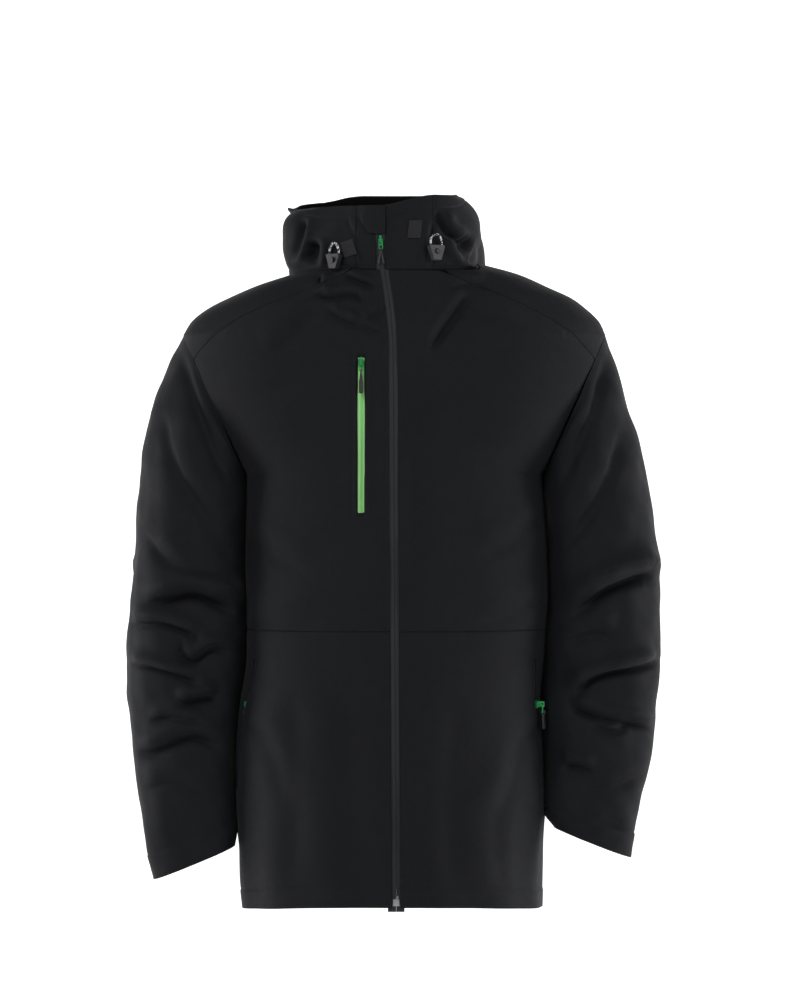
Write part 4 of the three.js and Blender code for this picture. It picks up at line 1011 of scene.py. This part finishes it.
# Folds of the collar and hood seen from the front, as (x, z) routes.
COLLAR_FOLDS = [
    ([(-106, 66), (-111, 38), (-121, 8)], 12.0, 5, "line"),
    ([(-96, 66), (-104, 46), (-112, 26), (-120, 6)], 6.0, 6, "bump"),
    ([(-97, 36), (-97, 22), (-103, 6)], 15.0, 8, "line"),
    ([(-84, 40), (-83, 20), (-84, -2)], 5.0, 5, "bump"),
    ([(-66, 2), (-46, -2), (-28, 4)], 2.6, 5),
    ([(-50, 30), (-40, 16), (-36, 2)], 2.0, 5),
    ([(34, 6), (38, 26), (48, 70)], 3.0, 5),
    ([(54, 72), (58, 54), (70, 40), (96, 34)], 8.0, 7),
    ([(74, 34), (84, 30), (97, 30)], 13.0, 8, "line"),
    ([(60, 40), (68, 22), (82, 4)], 6.0, 6, "bump"),
    ([(104, 40), (98, 22), (90, 4)], 6.0, 6, "sharp"),
    ([(-54, 66), (-48, 46), (-36, 30)], 1.4, 5),
]
HOOD_FOLDS = [
    ([(-100, 40), (-60, -20), (0, -44), (60, -20), (100, 40)], 7.0, 18),
    ([(-96, -20), (-50, -76), (0, -92), (50, -76), (96, -20)], 7.0, 16),
    ([(-60, 70), (-20, 44), (30, 48), (64, 72)], 4.0, 12),
    ([(-30, 60), (-36, 0), (-24, -70)], 2.6, 12),
    ([(30, -80), (40, 0), (30, 62)], 2.6, 12),
]


def hood_folds(p, angle):
    x, z = p[..., 0], p[..., 2]
    away = np.abs(np.degrees(angle))
    away = away[:, None] if away.ndim == 1 else away
    out = np.zeros(x.shape)
    in_front, behind = smoothstep(away, 62, 84), 1 - smoothstep(away, 50, 74)
    for weight, folds in ((in_front, COLLAR_FOLDS), (behind, HOOD_FOLDS)):
        for route, height, width, *kind in folds:
            out += weight * fold(x, z, route, height, width, *kind, ends=0.3)
    # the wall beside the zip stays nearly flat, and no edge is pushed through the neck
    out *= 0.35 + 0.65 * smoothstep(np.abs(x + 14), 14, 46)
    return out + ripple(p, 41, 70, 1.6) + ripple(p, 42, 30, 0.6)


def hood_piece(node, angle, share, calm=1.0):
    """One panel of the collar and hood, seamed at its foot and at both sides."""
    p = hood_surface(angle, share)
    rim = from_edge(p, 1, True)
    d = calm * hood_folds(p, angle) * smoothstep(rim, 0, 24) * smoothstep(from_edge(p, 1, False), 0, 12)
    d += 0.7 * (1 - smoothstep(rim, 13, 15)) - 0.4 * np.exp(-(((rim - 15) / 1.1) ** 2))
    d += seam(from_edge(p, 1, False), 4.0)
    for last in (False, True):
        d += seam(from_edge(p, 0, last), 4.0)
    full = displaced(p, d, True)
    obj = cloth(node + "_cloth", full, NYLON, flip=True, lining=NYLON_INNER, flat_held="hung")
    wear(obj, "jacket", "shell", node)


def collar_angle(x, z=37.0):
    return math.copysign(math.pi - math.atan2(abs(x), COLLAR_AXIS_Y - front_y(z)), x)


HOOD_SEAM = math.radians(36)  # angle of the hood's middle seams from the back's middle
HOOD_GAP = 0.0007
COLLAR_SEAM_X = 47.0


def make_hood():
    rows = steps((0, 1, 90, 0.3))
    hood_piece("hood_centre", steps((-HOOD_SEAM, HOOD_SEAM, 90, 0.3)), rows)
    for side, hand in ((-1, "right"), (1, "left")):
        seam_angle = collar_angle(side * COLLAR_SEAM_X)
        angles = steps((side * (HOOD_SEAM + HOOD_GAP), seam_angle, 130, 0.3))
        if side < 0:
            angles = angles[::-1]
        hood_piece("hood_side_" + hand, angles, rows)
        middle = side * math.pi - math.atan2(float(zip_x(40.0)) + side * GROOVE, 95.0)
        angles = steps((seam_angle + side * HOOD_GAP, middle, 50, 0.5))
        if side < 0:
            angles = angles[::-1]
        hood_piece("collar_" + hand, angles, rows, calm=0.7)


make_fronts()
make_backs()
make_yokes()
make_sleeves()
make_hood()


def chin_guard():
    """A soft flap sewn to the right front of the collar that covers the zip's top."""
    u = steps((0, 1, 34, 0.5))
    x = lerp(-43.0, -10.4, u)
    low = lerp(0.96, 0.56, smoothstep(u, -0.35, 0.5))
    v = steps((0, 1, 26, 0.5))
    points = np.zeros((len(u), len(v), 3))
    for i in range(len(u)):
        here = math.copysign(math.pi - math.atan2(abs(x[i]), 92.0), x[i])
        points[i] = hood_surface(np.array([here]), lerp(low[i], 0.995, v))[0]
    lift = np.full(points.shape[:2], 2.6)
    lift += seam(from_edge(points, 1, False), 3.0, 0.6) + seam(from_edge(points, 0, True), 3.0, 0.4)
    lift -= 1.4 * np.exp(-((from_edge(points, 0, False) / 5) ** 2))
    n = normals_of(points)
    turned = float(n[10, 10] @ np.array([0, -1.0, 0])) < 0
    obj = cloth("chin_guard_cloth", displaced(points, lift, turned), NYLON, thick=1.1, flip=turned)
    wear(obj, "jacket", "shell", "chin_guard")


chin_guard()

# ---------- inside ----------


def pocket_bag(name, near_x, far, low, high, side):
    """A light woven bag, pressed flat behind the front, with a soft turned edge."""
    u, v = steps((0, 1, 30, 0.4)), steps((0, 1, 40, 0.4))
    z = lerp(low, high, v)[None, :] + 0 * u[:, None]
    near = np.abs(angle_at_x(np.full(z.shape, near_x), z))
    angle = side * lerp(near, math.radians(far), u[:, None])
    p = torso(angle, z)
    edge = np.minimum(np.minimum(from_edge(p, 0, False), from_edge(p, 0, True)),
                      np.minimum(from_edge(p, 1, False), from_edge(p, 1, True)))
    depth = -10.2 - 0.5 * np.exp(-((edge / 4) ** 2)) + 0.3 * ripple(p, 60, 40, 1.0)
    flip = side < 0
    obj = cloth(name + "_cloth", displaced(p, depth, flip), BAG_CLOTH, thick=1.6, flip=flip, flat_held="hung")
    wear(obj, "jacket", "inner_cloth", name)


def powder_skirt():
    """Light cloth that hangs inside the body, gathered at its foot on an elastic edge."""
    angle = np.linspace(-math.pi, math.pi, 241)
    v = steps((0, 1, 40, 0.3))
    a, share = np.meshgrid(angle, v, indexing="ij")
    z = -600 + 100 * share
    p = torso(a, z)
    front = smoothstep(np.cos(a), -0.5, 0.1)
    sewn = lerp(4.0, 15.0, front)
    depth = -(sewn + 13 * (1 - share))
    gather = (1 - smoothstep(share, 0.1, 0.9)) * 2.6 * np.sin(a * 46 + 0.7 * np.sin(a * 5))
    elastic = smoothstep(share, 0.14, 0.18)
    full = displaced(p, depth + gather * (0.35 + 0.65 * elastic), False, ring=True)
    obj = cloth("powder_skirt_cloth", full, BAG_CLOTH, thick=0.9, ring=True, flat_held="gathered")
    wear(obj, "jacket", "inner_cloth", "powder_skirt")


def hanging_loop():
    """A folded tape loop at the back of the neck."""
    low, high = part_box("hanging_loop")
    mid = (low + high) / 2 / MM
    half, drop, strap = 30.0, 6.0, 3.6
    corner = np.linspace(0, 2 * math.pi, 73)
    e = 0.5
    x = half * signed_power(np.cos(corner), e)
    z = drop * signed_power(np.sin(corner), e)
    line = np.stack([mid.x + x, np.full(73, mid.y), mid.z + z], -1)
    out = np.stack([np.cos(corner) * 0.4, 0 * corner, np.sin(corner)], -1)
    out /= np.linalg.norm(out, axis=1, keepdims=True)
    w = np.linspace(-0.7, 0.7, 5)
    face = line[:, None] + np.array([0, 1.0, 0]) * w[None, :, None] * 1.0 + out[:, None] * (strap / 4)
    obj = cloth("hanging_loop_tape", face, LOOP_PILE, thick=1.0, ring=True, flip=True)
    wear(obj, "jacket", "trim_black", "hanging_loop")


pocket_bag("chest_pocket_bag", -30.0, 50.0, -330.0, -105.0, -1)
pocket_bag("right_hand_pocket_bag", -45.0, 82.0, -690.0, -450.0, -1)
pocket_bag("left_hand_pocket_bag", 45.0, 82.0, -690.0, -450.0, 1)
powder_skirt()
hanging_loop()

# ---------- zips ----------


def ribbon(name, route, out, across, half, thick, material, slot, nodes=(), offset=0.0, bow=0.0):
    """A strip on the jacket that follows a line of points, with its face along `out`."""
    u = np.linspace(-1, 1, 7)
    line = route[:, None] + across[:, None] * (offset + u[None, :, None] * half)
    face = line + out[:, None] * (bow * (1 - u[None, :, None] ** 2))
    flip = np.cross(across[0], np.gradient(route, axis=0)[0]) @ out[0] > 0
    return wear(cloth(name, face, material, thick=thick, flip=flip), "jacket", slot, *nodes)


def along(points):
    """Unit directions along a line of points."""
    d = np.gradient(points, axis=0)
    return d / np.linalg.norm(d, axis=1, keepdims=True)


def coil(name, route, out, across, half, pitch, wire, material, slot):
    """Meshed coil of a zip: one turn of filament after another across the line."""
    length = np.concatenate([[0], np.cumsum(np.linalg.norm(np.diff(route, axis=0), axis=1))])
    turns = int(length[-1] / pitch)
    s = np.linspace(0, length[-1], turns * 8 + 1)
    at = np.stack([np.interp(s, length, route[:, k]) for k in range(3)], -1)
    o = np.stack([np.interp(s, length, out[:, k]) for k in range(3)], -1)
    a = np.stack([np.interp(s, length, across[:, k]) for k in range(3)], -1)
    phase = np.arange(len(s)) * 2 * math.pi / 8
    path = at + a * (half * np.cos(phase))[:, None] + o * (half * 0.34 * np.sin(phase))[:, None]
    tangent = along(path)
    side = np.cross(tangent, o)
    side /= np.linalg.norm(side, axis=1, keepdims=True)
    up = np.cross(side, tangent)
    ring = [(math.cos(q), math.sin(q)) for q in np.linspace(0, 2 * math.pi, 5)[:-1] + 0.7]
    verts = np.stack([path + wire * (c * side + n * up) for c, n in ring], 1).reshape(-1, 3)
    faces = []
    for i in range(len(path) - 1):
        for k in range(4):
            m = (k + 1) % 4
            faces.append((i * 4 + k, i * 4 + m, (i + 1) * 4 + m, (i + 1) * 4 + k))
    faces.append((3, 2, 1, 0))
    last = (len(path) - 1) * 4
    faces.append((last, last + 1, last + 2, last + 3))
    return wear(new_object(name, verts, faces, material), "jacket", slot)


ZIP_FOOT_Z = -746.0
ZIP_TOP_Z = 66.0
TEETH_FOOT_Z = -731.0


def front_zip():
    z = np.linspace(ZIP_FOOT_Z, ZIP_TOP_Z, 336)
    y = np.where(z < 0, front_y(z), front_y(0) + 0.054 * z)
    line = np.stack([zip_x(z), y, z], -1)
    up = along(line)
    across = np.cross(np.array([0, -1.0, 0]), up)
    across /= np.linalg.norm(across, axis=1, keepdims=True)
    across *= np.sign(across[:, :1])
    out = np.cross(across, up)
    out *= -np.sign(out[:, 1:2])
    under = line - out * 2.2
    for side, hand in ((-1, "right"), (1, "left")):
        ribbon("zip_tape_" + hand + "_cloth", under, out, across, 4.6, 0.9, ZIP_CLOTH, "zip_tape",
               ["zip_tape_" + hand], offset=side * 4.85, bow=0.5)
    # the coil stops at the retainer box, the tapes run on to the hem
    teeth = z > TEETH_FOOT_Z
    coil("front_zip_coil", (under - out * 0.9)[teeth], out[teeth], across[teeth], 2.3, 1.5, 0.34,
         BLACK_ACETAL, "zip_tape")


def retainer():
    """The zip's foot: a metal box with its pin, at the very bottom of the tapes."""
    foot_z = -735.5
    at = np.array([float(zip_x(foot_z)), float(front_y(foot_z)) + 2.4, foot_z])

    def block(name, centre, size, radius, nodes):
        mesh = bpy.data.meshes.new(name)
        bm = bmesh.new()
        bmesh.ops.create_cube(bm, size=1.0)
        bmesh.ops.scale(bm, vec=Vector(size) * MM, verts=bm.verts)
        bmesh.ops.bevel(bm, geom=bm.edges[:], offset=radius * MM, segments=3, profile=0.6, affect="EDGES")
        bmesh.ops.translate(bm, vec=Vector(centre) * MM, verts=bm.verts)
        bm.to_mesh(mesh)
        bm.free()
        mesh.shade_smooth()
        obj = bpy.data.objects.new(name, mesh)
        bpy.context.scene.collection.objects.link(obj)
        mesh.materials.append(BRIGHT_METAL)
        return wear(obj, "jacket", "zip_metal", *nodes)

    block("zip_retainer_box_metal", at, (8.0, 3.2, 8.0), 0.7, ["zip_retainer_box"])
    pin_at = at + np.array([2.0, 0, 5.4])
    block("zip_insertion_pin_metal", pin_at, (1.6, 1.6, 5.0), 0.4, ["zip_insertion_pin"])


def pocket_zip(name, body_line, facing, tape_node):
    """Green tapes at the bottom of a slot, with the coil along their middle."""
    up = along(body_line)
    across = np.cross(up, facing)
    across /= np.linalg.norm(across, axis=1, keepdims=True)
    under = body_line - facing * TAPE_DEPTH
    ribbon(name + "_zip_tape_cloth", under, facing, across, 5.2, 0.8, GREEN_CLOTH, "green_tape",
           [tape_node], bow=0.2)
    coil(name + "_zip_coil", under + facing * 0.35, facing, across, 1.5, 1.3, 0.3, GREEN_CLOTH,
         "green_tape")


def pocket_zips():
    z = np.linspace(CHEST["end"] - 1.5, CHEST["top"] + 1.5, 90)
    line = torso(angle_at_x(np.full(z.shape, CHEST["x"]), z), z)
    facing = np.tile([0, -1.0, 0.05], (len(z), 1))
    facing /= np.linalg.norm(facing, axis=1, keepdims=True)
    pocket_zip("chest", line, facing, "chest_zip_tape")
    for side, hand in ((-1, "right"), (1, "left")):
        z = np.linspace(HAND["end"] - 1.5, HAND["top"] + 1.5, 80)
        a = pocket_line(side, z)
        line = torso(a, z)
        du = torso(a + 0.01, z) - torso(a - 0.01, z)
        dv = torso(a, z + 1) - torso(a, z - 1)
        facing = np.cross(du, dv)
        facing /= np.linalg.norm(facing, axis=1, keepdims=True)
        pocket_zip(hand + "_hand", line, facing, hand + "_hand_zip_tape")


def soften(node, material, radius, segments=2):
    """A frame's own small piece, with its edges rounded."""
    obj = bpy.data.objects[node]
    obj.data.materials.clear()
    obj.data.materials.append(material)
    bevel = obj.modifiers.new("rounded", "BEVEL")
    bevel.width = radius * MM
    bevel.segments = segments
    bevel.limit_method = "ANGLE"
    bevel.angle_limit = math.radians(35)
    obj.data.shade_smooth()
    return obj


def hardware():
    for name in ("front_zip", "chest_zip", "right_hand_zip", "left_hand_zip"):
        soften(name + "_slider", ENAMEL, 0.3)
        soften(name + "_tab", ENAMEL, 0.22)
        soften(name + "_puller", PULLER, 0.3)
    for hand, body in (("right", BLACK_ACETAL), ("left", GREY_ACETAL)):
        soften("cord_lock_" + hand, body, 0.6, 3)
        soften("lock_button_" + hand, BLACK_ACETAL, 0.4)


# Each cord lock on the collar: its place, its turn about the upright and how far it leans back.
LOCKS = [("right", (-70.384, -104.187, 17.618), -38.28, 0.43),
         ("left", (48.688, -110.823, 27.112), 26.94, -3.3)]
CORD_RADIUS = 1.3
CORD_SPREAD = 7.0
CORD_ARCH = 13.0
CORD_FOOT = 3.0
CORD_EXIT = 0.4  # height over the lock's middle at which the cord comes out
CORD_SWAY = 0.8


def hood_cords():
    """Each cord leaves its lock, arches over and goes back in beside itself."""
    t = np.linspace(0, math.pi, 25)
    rise = CORD_FOOT + (CORD_ARCH - CORD_FOOT) * np.sin(t)
    arch = np.stack([-CORD_SPREAD * np.cos(t), CORD_SWAY * np.sin(2 * t), rise], -1)
    local = np.concatenate([[[-CORD_SPREAD, 0, CORD_EXIT]], arch, [[CORD_SPREAD, 0, CORD_EXIT]]])
    for hand, place, turn, lean in LOCKS:
        c, s = math.cos(math.radians(turn)), math.sin(math.radians(turn))
        level, slope = math.cos(math.radians(lean)), math.sin(math.radians(lean))
        axes = np.array([[c, s, 0], [-s * level, c * level, slope], [s * slope, -c * slope, level]])
        path = (local @ axes + place) * MM
        curve = bpy.data.curves.new("hood_cord_" + hand, "CURVE")
        curve.dimensions = "3D"
        curve.bevel_depth = CORD_RADIUS * MM
        curve.bevel_resolution = 4
        curve.use_fill_caps = True
        spline = curve.splines.new("POLY")
        spline.points.add(len(path) - 1)
        for point, at in zip(spline.points, path):
            point.co = (*at, 1)
        obj = bpy.data.objects.new("hood_cord_" + hand + "_braid", curve)
        bpy.context.scene.collection.objects.link(obj)
        curve.materials.append(CORD_BRAID)
        wear(obj, "jacket", "shock_cord", "hood_cord_" + hand)


# Each collar patch: side, place across, share of the collar's height, width, height, turn.
PATCHES = [("right", -57, 0.33, 15, 18, 18), ("left", 24, 0.56, 16, 18, -8)]


def collar_patches():
    """Soft squares of film bonded to the collar; they follow its folds."""
    for hand, x, share, width, height, turn in PATCHES:
        middle = collar_angle(x)
        tilt = math.radians(turn)
        u = steps((-0.5, 0.5, 16, 0.4))
        across, up = u[:, None] * width, u[None, :] * height
        s = across * math.cos(tilt) - up * math.sin(tilt)
        t = across * math.sin(tilt) + up * math.cos(tilt)
        points = np.zeros((*s.shape, 3))
        for i in range(s.shape[0]):
            for j in range(s.shape[1]):
                here = np.array([middle - s[i, j] / 100])
                points[i, j] = hood_surface(here, np.array([share + t[i, j] / COLLAR_TOP]))[0, 0]
        n = normals_of(points)
        turned = float((n[8, 8] * [0, -1, 0]).sum()) < 0
        lifted = displaced(points, 1.6 + 0.7 * hood_folds(points, middle - s / 100), turned)
        obj = cloth("collar_patch_" + hand + "_film", lifted, PATCH_CLOTH, thick=0.7, flip=turned)
        wear(obj, "jacket", "patch", "collar_patch_" + hand)


front_zip()
retainer()
pocket_zips()
hardware()
hood_cords()
collar_patches()
